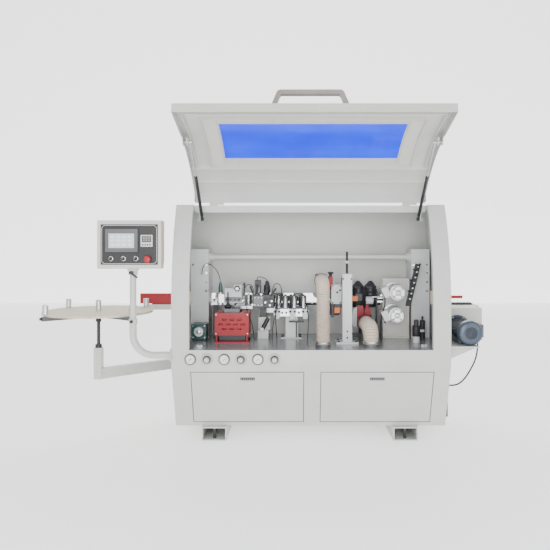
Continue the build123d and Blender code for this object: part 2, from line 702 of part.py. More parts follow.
with BuildPart() as press_roller_large:
    tube((-262, ROLLER_Y, ROLLER_BASE + AIR), (0, 0, 1), 32.0, 8.0 + RUNNING, 70.0)
keep(press_roller_large, "press_roller_large")

for number, roller_x in enumerate(ROLLER_XS, 1):
    with BuildPart() as roller:
        tube((roller_x, ROLLER_Y, ROLLER_BASE + AIR), (0, 0, 1), 27.5, 8.0 + RUNNING, 70.0)
    keep(roller, f"press_roller_{number}")

HOSES = (
    (78.0, 130.0, 43.0, 978.0, 370.0, 110.0),
    (378.0, 150.0, 49.0, 690.0, 420.0, 90.0),
)
with BuildPart() as dust_hoses:
    for hose_x, hose_y, radius, bend_z, end_y, bend in HOSES:
        with BuildLine() as route:
            FilletPolyline(
                (hose_x, hose_y, DECK_TOP), (hose_x, hose_y, bend_z), (hose_x, end_y, bend_z), radius=bend
            )
        with BuildSketch(Plane(origin=route.line @ 0, z_dir=route.line % 0)):
            Circle(radius)
        sweep(path=route.line)
    block((43, 113), (370, 560), (943, 1013))
    block((60, 96), (480, 540), (DECK_TOP, 943))
    block((343, 413), (420, 560), (655, 725))
    block((360, 396), (480, 540), (DECK_TOP, 655))
keep(dust_hoses, "dust_hoses")

with BuildPart() as trim_column:
    block((168, 308), (222, 342), (DECK_TOP, 593))
    block((208, 268), (240, 300), (593, 1027))
    rod((238, 270, 1027), (0, 0, 1), 7.0, 143.0)
    rod((238, 270, 1095), (0, 0, 1), 14.0, 14.0)
    for hole_x in (184.0, 292.0):
        for hole_y in (238.0, 326.0):
            rod((hole_x, hole_y, DECK_TOP - 1), (0, 0, 1), 6.0, 20.0, mode=Mode.SUBTRACT)
keep(trim_column, "trim_column")

with BuildPart() as end_trim_unit:
    block((140, 206), (300 + AIR, 420), (830, 955))
    block((206, 268), (300 + AIR, 330), (800, 1000))
    rod((172, 420, 890), (0, 1, 0), 45.0, 200.0)
    block((124, 150), (322, 400), (860, 1005))
    rod((138, 350, 1005), (0, 0, 1), 10.0, 14.0)
    rod((138, 350, 1019), (0, 0, 1), 20.0, 18.0)
    rod((172, 470, 740), (0, 0, 1), 38.0, 110.0)
    rod((172, 620, 890), (0, 1, 0), 6.0, 50.0)
    rod((172, 668, 890), (0, 1, 0), 62.0, 3.0)
keep(end_trim_unit, "end_trim_unit")

with BuildPart() as fine_trim_unit:
    block((300, 460), (590, 640), (DECK_TOP, 593))
    block((350, 410), (595, 635), (593, 800))
    block((318, 440), (585, 640), (800, 860))
    rod((340, 560, 785), (0, 0, 1), 42.0, 180.0)
    rod((425, 560, 785), (0, 0, 1), 42.0, 180.0)
    rod((340, 660, 800), (0, 0, 1), 28.0, 30.0)
    rod((425, 660, 800), (0, 0, 1), 28.0, 30.0)
    block((330, 350), (600, 660), (815, 825))
    block((415, 435), (600, 660), (815, 825))
keep(fine_trim_unit, "fine_trim_unit")

with BuildPart() as buffing_unit:
    block((500, 680), (480, 600), (DECK_TOP, 593))
    block((500, 680), (488, 500), (593, 985))
    block((644, 680), (500, 580), (593, 985))
    with BuildSketch(Plane.XZ.offset(-488)):
        with BuildLine():
            Polyline((652, 800), (686, 800), (752, 1078), (720, 1086), close=True)
        make_face()
    extrude(amount=26)
    block((478, 500), (300, 400), (870, 940))
    block((472, 500), (300, 400), (715, 785))
    for wheel_x, wheel_z in BUFF_CENTRES.values():
        rod((wheel_x, 488, wheel_z), (0, -1, 0), 60.0, 14.0)
        rod((wheel_x, 474, wheel_z), (0, -1, 0), 52.5, 180.0)
        rod((wheel_x, 294, wheel_z), (0, -1, 0), 47.0, 12.0)
        rod((wheel_x, 470, wheel_z), (0, 1, 0), 8.0 + RUNNING, 60.0, mode=Mode.SUBTRACT)
    block((500, 530), (300, 400), (880, 930))
    block((500, 530), (300, 400), (725, 775))
    rod((755, 420, DECK_TOP), (0, 0, 1), 18.0, 130.0)
    rod((755, 420, DECK_TOP + 130), (0, 0, 1), 5.0, 22.0)
keep(buffing_unit, "buffing_unit")

for wheel_name, (wheel_x, wheel_z) in BUFF_CENTRES.items():
    with BuildPart() as buff_wheel:
        rod((wheel_x, 480, wheel_z), (0, 1, 0), 8.0, 180.0)
        rod((wheel_x, 645, wheel_z), (0, 1, 0), 68.0, 34.0)
    keep(buff_wheel, wheel_name)

# ---------------------------------------------------------------- drive at the outfeed end
with BuildPart() as drive_housing:
    block((HALF_WIDTH, 1017), (20, 340), (591, 599))
    block((HALF_WIDTH, 1131), (335, 560), (591, 599))
    block((850, 1131), (350, 560), (599, 798))
    block((858, 1123), (358, 561), (607, 790), mode=Mode.SUBTRACT)
    for gusset_y in (60.0, 500.0):
        with BuildSketch(Plane.XZ.offset(-gusset_y)):
            with BuildLine():
                Polyline((HALF_WIDTH, 591), (1017, 591), (HALF_WIDTH, 515), close=True)
            make_face()
        extrude(amount=6)
    rod((969, 340, 677), (0, 1, 0), 40.0, 30.0, mode=Mode.SUBTRACT)
keep(drive_housing, "drive_housing")

with BuildPart() as drive_motor:
    rod((969, 30, 677), (0, 1, 0), 74.0, 60.0)
    rod((969, 90, 677), (0, 1, 0), 68.0, 240.0)
    rod((969, 330, 677), (0, 1, 0), 77.0, 19.6)
    rod((969, 349.6, 677), (0, 1, 0), 14.0, 70.0)
    block((1030, 1074), (130, 230), (637, 717))
    for foot_x in (930.0, 1001.0):
        block((foot_x - 14, foot_x + 14), (120, 300), (599, 640))
keep(drive_motor, "drive_motor")

GLAND_TOP = (1052.0, 180.0, 637.0)
GLAND_SIDE = (HALF_WIDTH, 130.0, 341.0)
with BuildPart() as service_fittings:
    rod(GLAND_TOP, (0, 0, -1), 9.0, 18.0)
    rod(GLAND_SIDE, (1, 0, 0), 9.0, 18.0)
    block((HALF_WIDTH, 864), (170, 260), (135, 243))
    rod((-HALF_WIDTH, 140, 323), (-1, 0, 0), 9.0, 16.0)
    rod((690, 300, DECK_TOP), (0, 0, 1), 22.0, 40.0)
    rod((690, 300, DECK_TOP + 40), (0, 0, 1), 26.0, 70.0)
    rod((690, 300, DECK_TOP + 110), (0, 0, 1), 15.0, 38.0)
    rod((690, 300, DECK_TOP + 75), (1, 0, 0), 9.0, 52.0)
keep(service_fittings, "service_fittings")

# Motor cable: straight runs joined by arcs, from the terminal box down to the cabinet's side.
CABLE_RADIUS = 5.0
CABLE_ROUTE = (
    (1052.0, 180.0, 619.0),
    (1052.0, 180.0, 580.0),
    (1046.0, 175.0, 530.0),
    (1028.0, 165.0, 480.0),
    (1001.0, 155.0, 436.0),
    (974.0, 146.0, 398.0),
    (947.0, 138.0, 368.0),
    (918.0, 132.0, 349.0),
    (888.0, 130.0, 341.0),
    (858.0, 130.0, 341.0),
)


def route_radii(route):
    """One arc radius for each corner: 0.45 of the shorter run, over the tangent of half the turn."""
    radii = []
    for before, corner, after in zip(route, route[1:], route[2:]):
        run_in = Vector(*corner) - Vector(*before)
        run_out = Vector(*after) - Vector(*corner)
        half_turn = radians(run_in.get_angle(run_out)) / 2
        radii.append(0.45 * min(run_in.length, run_out.length) / tan(half_turn))
    return radii


cable_radii = route_radii(CABLE_ROUTE)
with BuildPart() as drive_cable:
    with BuildLine() as cable_path:
        FilletPolyline(*CABLE_ROUTE, radius=cable_radii)
    with BuildSketch(Plane(origin=cable_path.line @ 0, z_dir=cable_path.line % 0)):
        Circle(CABLE_RADIUS)
    sweep(path=cable_path.line)
cable_length = sum(edge.length for edge in cable_path.line.edges())
print("cable radii", [round(radius) for radius in cable_radii], "length", round(cable_length))
cable_volume = pi * CABLE_RADIUS**2 * cable_length
print("cable volume", round(drive_cable.part.volume), "expected", round(cable_volume))
keep(drive_cable, "drive_cable")

# ---------------------------------------------------------------- control panel
with BuildPart() as control_post:
    with BuildLine() as post_path:
        FilletPolyline(
            (POST_X, POST_Y, POST_JOINT_Z),
            (POST_X, POST_Y, POST_RUN_Z),
            (-HALF_WIDTH - 6, POST_Y + 10, POST_RUN_Z),
            radius=POST_BEND,
        )
    with BuildSketch(Plane.XY.offset(POST_JOINT_Z)):
        with Locations((POST_X, POST_Y)):
            Circle(21.2)
    sweep(path=post_path.line)
    rod((POST_X, POST_Y, POST_JOINT_Z - 30), (0, 0, 1), 25.0, 30.0)
    rod((POST_X, POST_Y, POST_JOINT_Z - 20), (0, -1, 0), 7.0, 40.0)
    rod((-HALF_WIDTH - 8, POST_Y + 10, POST_RUN_Z), (1, 0, 0), 40.0, 8.0)
    rod((POST_X, POST_Y, POST_JOINT_Z - 60), (0, 0, 1), 12.0 + RUNNING, 61.0, mode=Mode.SUBTRACT)
keep(control_post, "control_post")

with BuildPart() as control_arm:
    arm_length = PANEL_BOX_Z[0] - POST_JOINT_Z - AIR
    rod((POST_X, POST_Y, POST_JOINT_Z + AIR), (0, 0, 1), 19.5, arm_length)
    rod((POST_X, POST_Y, POST_JOINT_Z - 55), (0, 0, 1), 12.0, 56.0)
    rod((POST_X, POST_Y, PANEL_BOX_Z[0] - 36), (0, 0, 1), 26.0, 24.0)
    rod((POST_X, POST_Y, PANEL_BOX_Z[0] - 12), (0, 0, 1), 34.0, 12.0)
keep(control_arm, "control_arm")

with BuildPart() as clamp_lever:
    lever_z = PANEL_BOX_Z[0] - 24
    rod((POST_X, POST_Y - 26 - AIR, lever_z), (0, -1, 0), 11.0, 12.0)
    rod((POST_X - 14, POST_Y - 34, lever_z + 2), (0.83, 0, -0.55), 5.0, 60.0)
keep(clamp_lever, "clamp_lever")

FASCIA_Y = PANEL_BOX_Y[0]
FASCIA_FRONT = FASCIA_Y - 2.0
SELECTOR_XS = (-1196.0, -1121.0, -1047.0)
with BuildPart() as control_box:
    with BuildSketch(Plane.YZ.offset(PANEL_BOX_X[0])):
        with BuildLine():
            Polyline(
                (PANEL_BOX_Y[0], PANEL_BOX_Z[0]),
                (PANEL_BOX_Y[0], PANEL_BOX_Z[1]),
                (PANEL_BOX_Y[1], PANEL_BOX_Z[1]),
                (PANEL_BOX_Y[1], PANEL_BOX_Z[0] + 50),
                (PANEL_BOX_Y[1] - 26, PANEL_BOX_Z[0]),
                close=True,
            )
        make_face()
    extrude(amount=PANEL_BOX_X[1] - PANEL_BOX_X[0])
    fillet(control_box.edges().filter_by(Axis.Y), radius=7)
    with BuildSketch(Plane.XZ.offset(-FASCIA_Y)):
        with Locations((-1086, 1215)):
            RectangleRounded(341, 241, 5)
    extrude(amount=2)
    block((-1233, -1029), (FASCIA_FRONT - 6, FASCIA_FRONT), (1165.5, 1312.5))
    block((-1016, -946), (FASCIA_FRONT - 7, FASCIA_FRONT), (1202, 1272))
    for selector_x in SELECTOR_XS:
        rod((selector_x, FASCIA_FRONT, 1131), (0, -1, 0), 14.5, 3.0)
    rod((-975, FASCIA_FRONT, 1128), (0, -1, 0), 16.0, 8.0)
keep(control_box, "control_box")

with BuildPart() as e_stop:
    rod((-975, FASCIA_FRONT - 8 - 5.4, 1128), (0, -1, 0), 21.0, 14.0)
    fillet(e_stop.faces().sort_by(Axis.Y)[0].edges(), radius=5)
keep(e_stop, "e_stop")

for number, selector_x in enumerate(SELECTOR_XS, 1):
    with BuildPart() as selector:
        rod((selector_x, FASCIA_FRONT - 3 - AIR, 1131), (0, -1, 0), 12.0, 8.0)
        block(
            (selector_x - 4, selector_x + 4),
            (FASCIA_FRONT - 3 - AIR - 20, FASCIA_FRONT - 3 - AIR - 8),
            (1131 - 11, 1131 + 11),
        )
    keep(selector, f"selector_{number}")

# ---------------------------------------------------------------- tape reel table
with BuildPart() as reel_arm:
    block((REEL_X - 25, REEL_X + 25), (REEL_Y - 25, REEL_Y + 25), (REEL_ARM_Z, 548))
    arm_run = Vector(REEL_ARM_FOOT[0] - REEL_X, REEL_ARM_FOOT[1] - REEL_Y, 0)
    arm_angle = degrees(atan2(arm_run.Y, arm_run.X))
    with BuildSketch(Plane.XY.offset(REEL_ARM_Z)):
        with Locations(Location((REEL_X + arm_run.X / 2, REEL_Y + arm_run.Y / 2), arm_angle)):
            Rectangle(arm_run.length, 50)
    extrude(amount=66)
    block((-HALF_WIDTH - 10, -HALF_WIDTH), (REEL_ARM_FOOT[1] - 80, REEL_ARM_FOOT[1] + 80), (310, 450))
    block((-HALF_WIDTH, -HALF_WIDTH + 60), (600, 860), (330, 430), mode=Mode.SUBTRACT)
    rod((REEL_X, REEL_Y, 548), (0, 0, 1), 20.5, 23.0)
    rod((REEL_X, REEL_Y, 420), (0, 0, 1), 11.5 + RUNNING, 160.0, mode=Mode.SUBTRACT)
keep(reel_arm, "reel_arm")

HUB_LOW = 716.0
with BuildPart() as reel_spindle:
    rod((REEL_X, REEL_Y, 440), (0, 0, 1), 11.5, HUB_LOW - 440)
    rod((REEL_X, REEL_Y, HUB_LOW), (0, 0, 1), 19.5, 28.0)
    rod((REEL_X, REEL_Y, HUB_LOW + 28), (0, 0, 1), 10.0, 43.0)
keep(reel_spindle, "reel_spindle")

CROSS_REACH = 378.0
CROSS_ANGLES = (42.0, 142.0)
PIN_REACH = 342.0
DISC_THICKNESS = 13.0
with BuildPart() as reel_cross:
    for angle in CROSS_ANGLES:
        with BuildSketch(Plane.XY.offset(REEL_TOP - DISC_THICKNESS - 28)):
            with Locations(Location((REEL_X, REEL_Y), angle)):
                Rectangle(2 * CROSS_REACH - 30, 28)
        extrude(amount=28)
        direction = (cos(radians(angle)), sin(radians(angle)), 0)
        for end in (-1, 1):
            start = (
                REEL_X + end * (CROSS_REACH - 15) * direction[0],
                REEL_Y + end * (CROSS_REACH - 15) * direction[1],
                REEL_TOP - DISC_THICKNESS - 14,
            )
            rod(start, (end * direction[0], end * direction[1], 0), 9.0, 15.0)
    rod((REEL_X, REEL_Y, HUB_LOW + 28 + AIR), (0, 0, 1), 19.5, 14.0)
    rod((REEL_X, REEL_Y, HUB_LOW + 20), (0, 0, 1), 10.0 + RUNNING, 54.0, mode=Mode.SUBTRACT)
    for angle in (42.0, 142.0, 222.0, 322.0):
        pin = (REEL_X + PIN_REACH * cos(radians(angle)), REEL_Y + PIN_REACH * sin(radians(angle)))
        rod((*pin, REEL_TOP), (0, 0, 1), 18.5, 58.0)
    rod((REEL_X, REEL_Y, REEL_TOP), (0, 0, 1), 17.5, 70.0)
keep(reel_cross, "reel_cross")

with BuildPart() as reel_disc:
    tube((REEL_X, REEL_Y, REEL_TOP - DISC_THICKNESS), (0, 0, 1), REEL_RADIUS, 10.0 + AIR, DISC_THICKNESS)
    for angle in (20.0, 80.0, 200.0, 260.0):
        for reach in (90.0, 150.0, 210.0, 270.0):
            hole = (REEL_X + reach * cos(radians(angle)), REEL_Y + reach * sin(radians(angle)))
            rod((*hole, REEL_TOP - 20), (0, 0, 1), 5.0, 30.0, mode=Mode.SUBTRACT)
keep(reel_disc, "reel_disc")

# ---------------------------------------------------------------- write
outline = Compound(children=[Compound(piece.wrapped) for piece in pieces.values()]).bounding_box()
print("outline", outline.min, outline.max)
print("outline centre", outline.center().X, outline.center().Y, "lowest", outline.min.Z)

os.makedirs("parts", exist_ok=True)
for name, piece in pieces.items():
    shifted = piece.moved(Location((-OUTLINE_X, -OUTLINE_Y, 0)))
    shifted.label = name
    export_step(shifted, f"parts/{name}.step")
print(len(pieces), "pieces")
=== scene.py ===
import json
from math import atan2, cos, pi, radians, sin

import bmesh
import bpy
from mathutils import Matrix, Vector


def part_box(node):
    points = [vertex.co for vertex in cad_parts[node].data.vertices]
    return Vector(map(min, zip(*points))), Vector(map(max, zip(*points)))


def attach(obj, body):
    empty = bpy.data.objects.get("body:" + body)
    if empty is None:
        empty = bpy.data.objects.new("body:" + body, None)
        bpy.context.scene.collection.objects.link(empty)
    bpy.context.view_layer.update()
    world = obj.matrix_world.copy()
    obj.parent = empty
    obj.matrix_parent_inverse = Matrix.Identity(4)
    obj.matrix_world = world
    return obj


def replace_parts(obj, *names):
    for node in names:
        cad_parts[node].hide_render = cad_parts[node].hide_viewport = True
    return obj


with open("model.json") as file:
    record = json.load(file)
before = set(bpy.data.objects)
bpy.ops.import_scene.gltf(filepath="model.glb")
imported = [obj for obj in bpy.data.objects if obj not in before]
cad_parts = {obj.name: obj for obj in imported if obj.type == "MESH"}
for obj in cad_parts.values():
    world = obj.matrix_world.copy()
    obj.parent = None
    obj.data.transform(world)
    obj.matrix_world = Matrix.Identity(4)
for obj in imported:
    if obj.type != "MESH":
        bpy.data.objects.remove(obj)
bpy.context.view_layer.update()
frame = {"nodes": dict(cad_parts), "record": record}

# ------------------------------------------------------------------ places
# Places are in millimetres from the cabinet's centre line, front face and floor.
cabinet_low, cabinet_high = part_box("base_cabinet")
CENTRE_X = (cabinet_low.x + cabinet_high.x) / 2
FRONT_Y = cabinet_low.y
X, Y, Z = Vector((1, 0, 0)), Vector((0, 1, 0)), Vector((0, 0, 1))


def at(x, y, z):
    """A cabinet point in millimetres as a point of the frame in metres."""
    return Vector((CENTRE_X + x / 1000, FRONT_Y + y / 1000, z / 1000))


# ------------------------------------------------------------------ materials
def shader_tree(name):
    """A new material with its node tree and its shader."""
    material = bpy.data.materials.new(name)
    material.use_nodes = True
    nodes = material.node_tree.nodes
    return material, material.node_tree, nodes["Principled BSDF"]


def link_noise(tree, scale, detail=3.0, stretch=(1, 1, 1)):
    """A noise texture in object coordinates, with its features stretched along the axes."""
    coords = tree.nodes.new("ShaderNodeTexCoord")
    mapping = tree.nodes.new("ShaderNodeMapping")
    mapping.inputs["Scale"].default_value = stretch
    noise = tree.nodes.new("ShaderNodeTexNoise")
    noise.inputs["Scale"].default_value = scale
    noise.inputs["Detail"].default_value = detail
    tree.links.new(coords.outputs["Object"], mapping.inputs["Vector"])
    tree.links.new(mapping.outputs["Vector"], noise.inputs["Vector"])
    return noise


def surface(
    name,
    colour,
    roughness=0.5,
    metallic=0.0,
    vary=0.08,
    vary_scale=6.0,
    grain=400.0,
    bump=0.08,
    stretch=(1, 1, 1),
    coat=0.0,
    rough_vary=0.08,
):
    """A solid surface: blotchy colour, uneven gloss and a fine texture."""
    material, tree, shader = shader_tree(name)
    shader.inputs["Metallic"].default_value = metallic
    shader.inputs["Coat Weight"].default_value = coat
    tone = link_noise(tree, vary_scale, 4.0)
    ramp = tree.nodes.new("ShaderNodeValToRGB")
    ramp.color_ramp.elements[0].position = 0.3
    ramp.color_ramp.elements[1].position = 0.72
    ramp.color_ramp.elements[0].color = (*[c * (1 - vary) for c in colour], 1)
    ramp.color_ramp.elements[1].color = (*[min(1, c * (1 + vary)) for c in colour], 1)
    tree.links.new(tone.outputs["Fac"], ramp.inputs["Fac"])
    tree.links.new(ramp.outputs["Color"], shader.inputs["Base Color"])
    fine = link_noise(tree, grain, 2.0, stretch)
    spread = tree.nodes.new("ShaderNodeMapRange")
    spread.inputs["To Min"].default_value = max(0.02, roughness - rough_vary)
    spread.inputs["To Max"].default_value = min(1.0, roughness + rough_vary)
    tree.links.new(fine.outputs["Fac"], spread.inputs["Value"])
    tree.links.new(spread.outputs["Result"], shader.inputs["Roughness"])
    height = tree.nodes.new("ShaderNodeBump")
    height.inputs["Strength"].default_value = bump
    height.inputs["Distance"].default_value = 0.0006
    tree.links.new(fine.outputs["Fac"], height.inputs["Height"])
    tree.links.new(height.outputs["Normal"], shader.inputs["Normal"])
    return material


def plywood(name):
    """Pale plywood: long stretched grain over a beige base."""
    material, tree, shader = shader_tree(name)
    grain = link_noise(tree, 9.0, 6.0, (1.0, 14.0, 1.0))
    ramp = tree.nodes.new("ShaderNodeValToRGB")
    ramp.color_ramp.elements[0].position = 0.25
    ramp.color_ramp.elements[1].position = 0.75
    ramp.color_ramp.elements[0].color = (0.46, 0.37, 0.26, 1)
    ramp.color_ramp.elements[1].color = (0.66, 0.57, 0.44, 1)
    height = tree.nodes.new("ShaderNodeBump")
    height.inputs["Strength"].default_value = 0.12
    height.inputs["Distance"].default_value = 0.0006
    shader.inputs["Roughness"].default_value = 0.5
    tree.links.new(grain.outputs["Fac"], ramp.inputs["Fac"])
    tree.links.new(ramp.outputs["Color"], shader.inputs["Base Color"])
    tree.links.new(grain.outputs["Fac"], height.inputs["Height"])
    tree.links.new(height.outputs["Normal"], shader.inputs["Normal"])
    return material


def blue_window_painted_glow(name):
    """Blue tinted polycarbonate with slight streaks in its depth of colour; it also glows in its own blue as
    painted light, though no lamp is in it.
    """
    material, tree, shader = shader_tree(name)
    streaks = link_noise(tree, 3.0, 5.0, (1.0, 3.0, 3.0))
    ramp = tree.nodes.new("ShaderNodeValToRGB")
    ramp.color_ramp.elements[0].position = 0.3
    ramp.color_ramp.elements[1].position = 0.75
    ramp.color_ramp.elements[0].color = (0.0, 0.018, 0.80, 1)
    ramp.color_ramp.elements[1].color = (0.0, 0.05, 1.0, 1)
    shader.inputs["Roughness"].default_value = 0.12
    shader.inputs["Alpha"].default_value = 0.97
    shader.inputs["Coat Weight"].default_value = 0.15
    # Painted glow: the window emits its own blue colour as if lit from within.
    shader.inputs["Emission Strength"].default_value = 0.45
    tree.links.new(streaks.outputs["Fac"], ramp.inputs["Fac"])
    tree.links.new(ramp.outputs["Color"], shader.inputs["Base Color"])
    tree.links.new(ramp.outputs["Color"], shader.inputs["Emission Color"])
    return material


MATERIALS = {
    "cabinet_paint": surface("cabinet_paint", (0.50, 0.515, 0.485), 0.42, vary=0.035, bump=0.14, coat=0.1),
    "white_paint": surface("white_paint", (0.58, 0.59, 0.58), 0.4, vary=0.04, bump=0.12),
    "cream_paint": surface("cream_paint", (0.54, 0.47, 0.36), 0.45, vary=0.05, bump=0.14),
    "panel_paint": surface("panel_paint", (0.55, 0.54, 0.50), 0.42, vary=0.04, bump=0.14),
    "deck_steel": surface(
        "deck_steel", (0.42, 0.43, 0.42), 0.24, 0.55, vary=0.07, grain=90, bump=0.05, stretch=(14, 1, 1)
    ),
    "red_paint": surface("red_paint", (0.30, 0.0, 0.007), 0.5, vary=0.08, coat=0.05),
    "dark_red": surface("dark_red", (0.22, 0.012, 0.02), 0.4, vary=0.1),
    "dark_metal": surface("dark_metal", (0.028, 0.029, 0.032), 0.4, 0.3, vary=0.2, grain=250),
    "grey_metal": surface("grey_metal", (0.11, 0.115, 0.12), 0.42, 0.5, vary=0.15, grain=250),
    "motor_blue": surface("motor_blue", (0.035, 0.055, 0.085), 0.36, vary=0.14, coat=0.2),
    "motor_teal": surface("motor_teal", (0.012, 0.07, 0.06), 0.36, vary=0.15, coat=0.2),
    "aluminium": surface(
        "aluminium", (0.68, 0.69, 0.70), 0.34, 0.9, vary=0.06, grain=120, bump=0.1, stretch=(1, 1, 14)
    ),
    "steel": surface("steel", (0.55, 0.55, 0.55), 0.28, 1.0, vary=0.08, grain=160, stretch=(12, 1, 1)),
    "black_plastic": surface("black_plastic", (0.018, 0.018, 0.019), 0.45, vary=0.15, grain=700),
    "red_plastic": surface("red_plastic", (0.36, 0.0, 0.005), 0.4, vary=0.06, coat=0.1),
    "orange_plastic": surface("orange_plastic", (0.75, 0.14, 0.01), 0.4, vary=0.08),
    "handle_plastic": surface("handle_plastic", (0.24, 0.215, 0.205), 0.45, vary=0.1, grain=600),
    "hose_plastic": surface("hose_plastic", (0.52, 0.44, 0.36), 0.4, vary=0.1, vary_scale=14, grain=300),
    "roller_rubber": surface("roller_rubber", (0.02, 0.02, 0.021), 0.7, vary=0.15, grain=500),
    "cable_rubber": surface("cable_rubber", (0.012, 0.012, 0.013), 0.5, vary=0.15, grain=500),
    "cloth_wheel": surface("cloth_wheel", (0.60, 0.57, 0.50), 0.95, vary=0.15, vary_scale=60, bump=0.5),
    "dial_face": surface("dial_face", (0.72, 0.74, 0.70), 0.35, vary=0.03, coat=0.6),
    "screen_glass": surface("screen_glass", (0.55, 0.60, 0.64), 0.12, vary=0.05, coat=0.8, bump=0.0),
    "display_grey": surface("display_grey", (0.10, 0.115, 0.10), 0.15, vary=0.06, coat=0.8, bump=0.0),
    "line_grey": surface("line_grey", (0.22, 0.22, 0.24), 0.4, vary=0.05),
    "plywood": plywood("plywood"),
    "window": blue_window_painted_glow("window"),
}


# ------------------------------------------------------------------ mesh tools
def add_box(mesh, x, y, z, turn=None):
    """A box from its low and high X, Y and Z in cabinet millimetres, turned about its centre."""
    low, high = at(x[0], y[0], z[0]), at(x[1], y[1], z[1])
    made = bmesh.ops.create_cube(mesh, size=1.0)["verts"]
    size = Matrix.Diagonal((*(high - low), 1))
    spin = turn or Matrix.Identity(4)
    bmesh.ops.transform(mesh, matrix=Matrix.Translation((low + high) / 2) @ spin @ size, verts=made)


def add_prism(mesh, outline, direction):
    """A closed outline of frame points, pulled along a vector."""
    low = [mesh.verts.new(point) for point in outline]
    high = [mesh.verts.new(point + direction) for point in outline]
    count = len(outline)
    mesh.faces.new(low)
    mesh.faces.new(high[::-1])
    for index in range(count):
        after = (index + 1) % count
        mesh.faces.new((low[after], low[index], high[index], high[after]))


def add_turned(mesh, start, along, profile, segments=32):
    """A turned shape: profile holds (distance along the axis, radius) in millimetres."""
    axis = Vector(along).normalized()
    side = axis.orthogonal().normalized()
    other = axis.cross(side)
    rings = []
    for distance, radius in profile:
        centre = start + axis * distance / 1000
        if radius < 1e-6:
            rings.append([mesh.verts.new(centre)])
            continue
        ring = []
        for step in range(segments):
            angle = 2 * pi * step / segments
            ring.append(mesh.verts.new(centre + (side * cos(angle) + other * sin(angle)) * radius / 1000))
        rings.append(ring)
    for first, second in zip(rings, rings[1:]):
        for step in range(segments):
            after = (step + 1) % segments
            if len(first) == 1 and len(second) > 1:
                mesh.faces.new((first[0], second[step], second[after]))
            elif len(second) == 1 and len(first) > 1:
                mesh.faces.new((first[after], first[step], second[0]))
            elif len(first) > 1:
                mesh.faces.new((first[after], first[step], second[step], second[after]))


def add_rod(mesh, start, along, radius, length, segments=28, edge=0.8):
    """A round bar with small chamfers."""
    edge = min(edge, radius * 0.4, length * 0.4)
    profile = ((0, 0), (0, radius - edge), (edge, radius), (length - edge, radius), (length, radius - edge))
    add_turned(mesh, start, along, (*profile, (length, 0)), segments)


def add_tube(mesh, start, along, outer, inner, length, segments=32, edge=0.8):
    """A round tube, open at both ends, with small chamfers outside."""
    profile = (
        (0, inner), (0, outer - edge), (edge, outer), (length - edge, outer), (length, outer - edge),
        (length, inner), (0, inner)
    )
    add_turned(mesh, start, along, profile, segments)


def add_fins(mesh, centre, side, along, count, radius, height, length, half_width):
    """Straight cooling fins, evenly spaced on a round body in the plane of X and the side direction."""
    for fin in range(count):
        angle = 2 * pi * fin / count
        out = X * cos(angle) + side * sin(angle)
        across = (X * -sin(angle) + side * cos(angle)) * half_width / 1000
        base = centre + out * radius / 1000
        tip = out * height / 1000
        outline = [base - across, base + across, base + across + tip, base - across + tip]
        add_prism(mesh, outline, along * length / 1000)


def add_bolt(mesh, head, along, size=6.0, height=5.0):
    """A socket head bolt seen from its head: a turned head with a hollow."""
    profile = (
        (0, 0), (0, size), (height - 0.8, size), (height, size - 0.8), (height, size * 0.5),
        (height * 0.5, size * 0.5), (height * 0.5, 0)
    )
    add_turned(mesh, head, along, profile, 16)


class Unit:
    """The pieces of one assembly: one mesh for each material, all on one body."""

    def __init__(self, name, body, replaced=(), bevel=1.0):
        self.name = name
        self.body = body
        self.replaced = replaced
        self.bevel = bevel
        self.meshes = {}

    def __getitem__(self, material):
        if material not in self.meshes:
            self.meshes[material] = bmesh.new()
        return self.meshes[material]

    def done(self):
        """Turns the meshes into objects that ride on the unit's body."""
        made = []
        for material, mesh in self.meshes.items():
            bmesh.ops.remove_doubles(mesh, verts=mesh.verts, dist=1e-6)
            bmesh.ops.recalc_face_normals(mesh, faces=mesh.faces)
            data = bpy.data.meshes.new(f"{self.name}_{material}")
            mesh.to_mesh(data)
            mesh.free()
            piece = bpy.data.objects.new(data.name, data)
            bpy.context.scene.collection.objects.link(piece)
            finish_piece(piece, material, self.body, self.bevel)
            made.append(piece)
        if self.replaced:
            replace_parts(made[0], *self.replaced)
        return made


def finish_piece(piece, material, body, bevel=0.0):
    """Gives a piece its material, smooth shading, a small edge bevel and its body."""
    piece.data.materials.append(MATERIALS[material])
    for polygon in piece.data.polygons:
        polygon.use_smooth = True
    piece.data.set_sharp_from_angle(angle=radians(34))
    if bevel:
        rounding = piece.modifiers.new("rounding", "BEVEL")
        rounding.width = bevel / 1000
        rounding.segments = 2
        rounding.limit_method = "ANGLE"
        rounding.angle_limit = radians(50)
    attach(piece, body)


def cable(name, points, radius, material, body):
    """A round cable on one smooth curve through control points in cabinet millimetres."""
    curve = bpy.data.curves.new(name, "CURVE")
    curve.dimensions = "3D"
    curve.bevel_depth = radius / 1000
    curve.bevel_resolution = 4
    curve.use_fill_caps = True
    spline = curve.splines.new("NURBS")
    spline.points.add(len(points) - 1)
    for point, place in zip(spline.points, points):
        point.co = (*at(*place), 1)
    spline.order_u = 3
    spline.use_endpoint_u = True
    spline.resolution_u = 12
    piece = bpy.data.objects.new(name, curve)
    bpy.context.scene.collection.objects.link(piece)
    curve.materials.append(MATERIALS[material])
    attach(piece, body)
    return piece


# ------------------------------------------------------------------ camera and light
CAMERA_HEIGHT = 1217
CAMERA_DISTANCE = 3720
camera_data = bpy.data.cameras.new("camera")
camera_data.lens = 40.6
camera_data.sensor_width = 36
camera_data.shift_x = -0.031
camera_data.shift_y = -0.056
camera = bpy.data.objects.new("camera", camera_data)
camera.location = at(-115, -CAMERA_DISTANCE, CAMERA_HEIGHT)
camera.rotation_euler = (pi / 2, 0, 0)
bpy.context.scene.collection.objects.link(camera)
bpy.context.scene.camera = camera

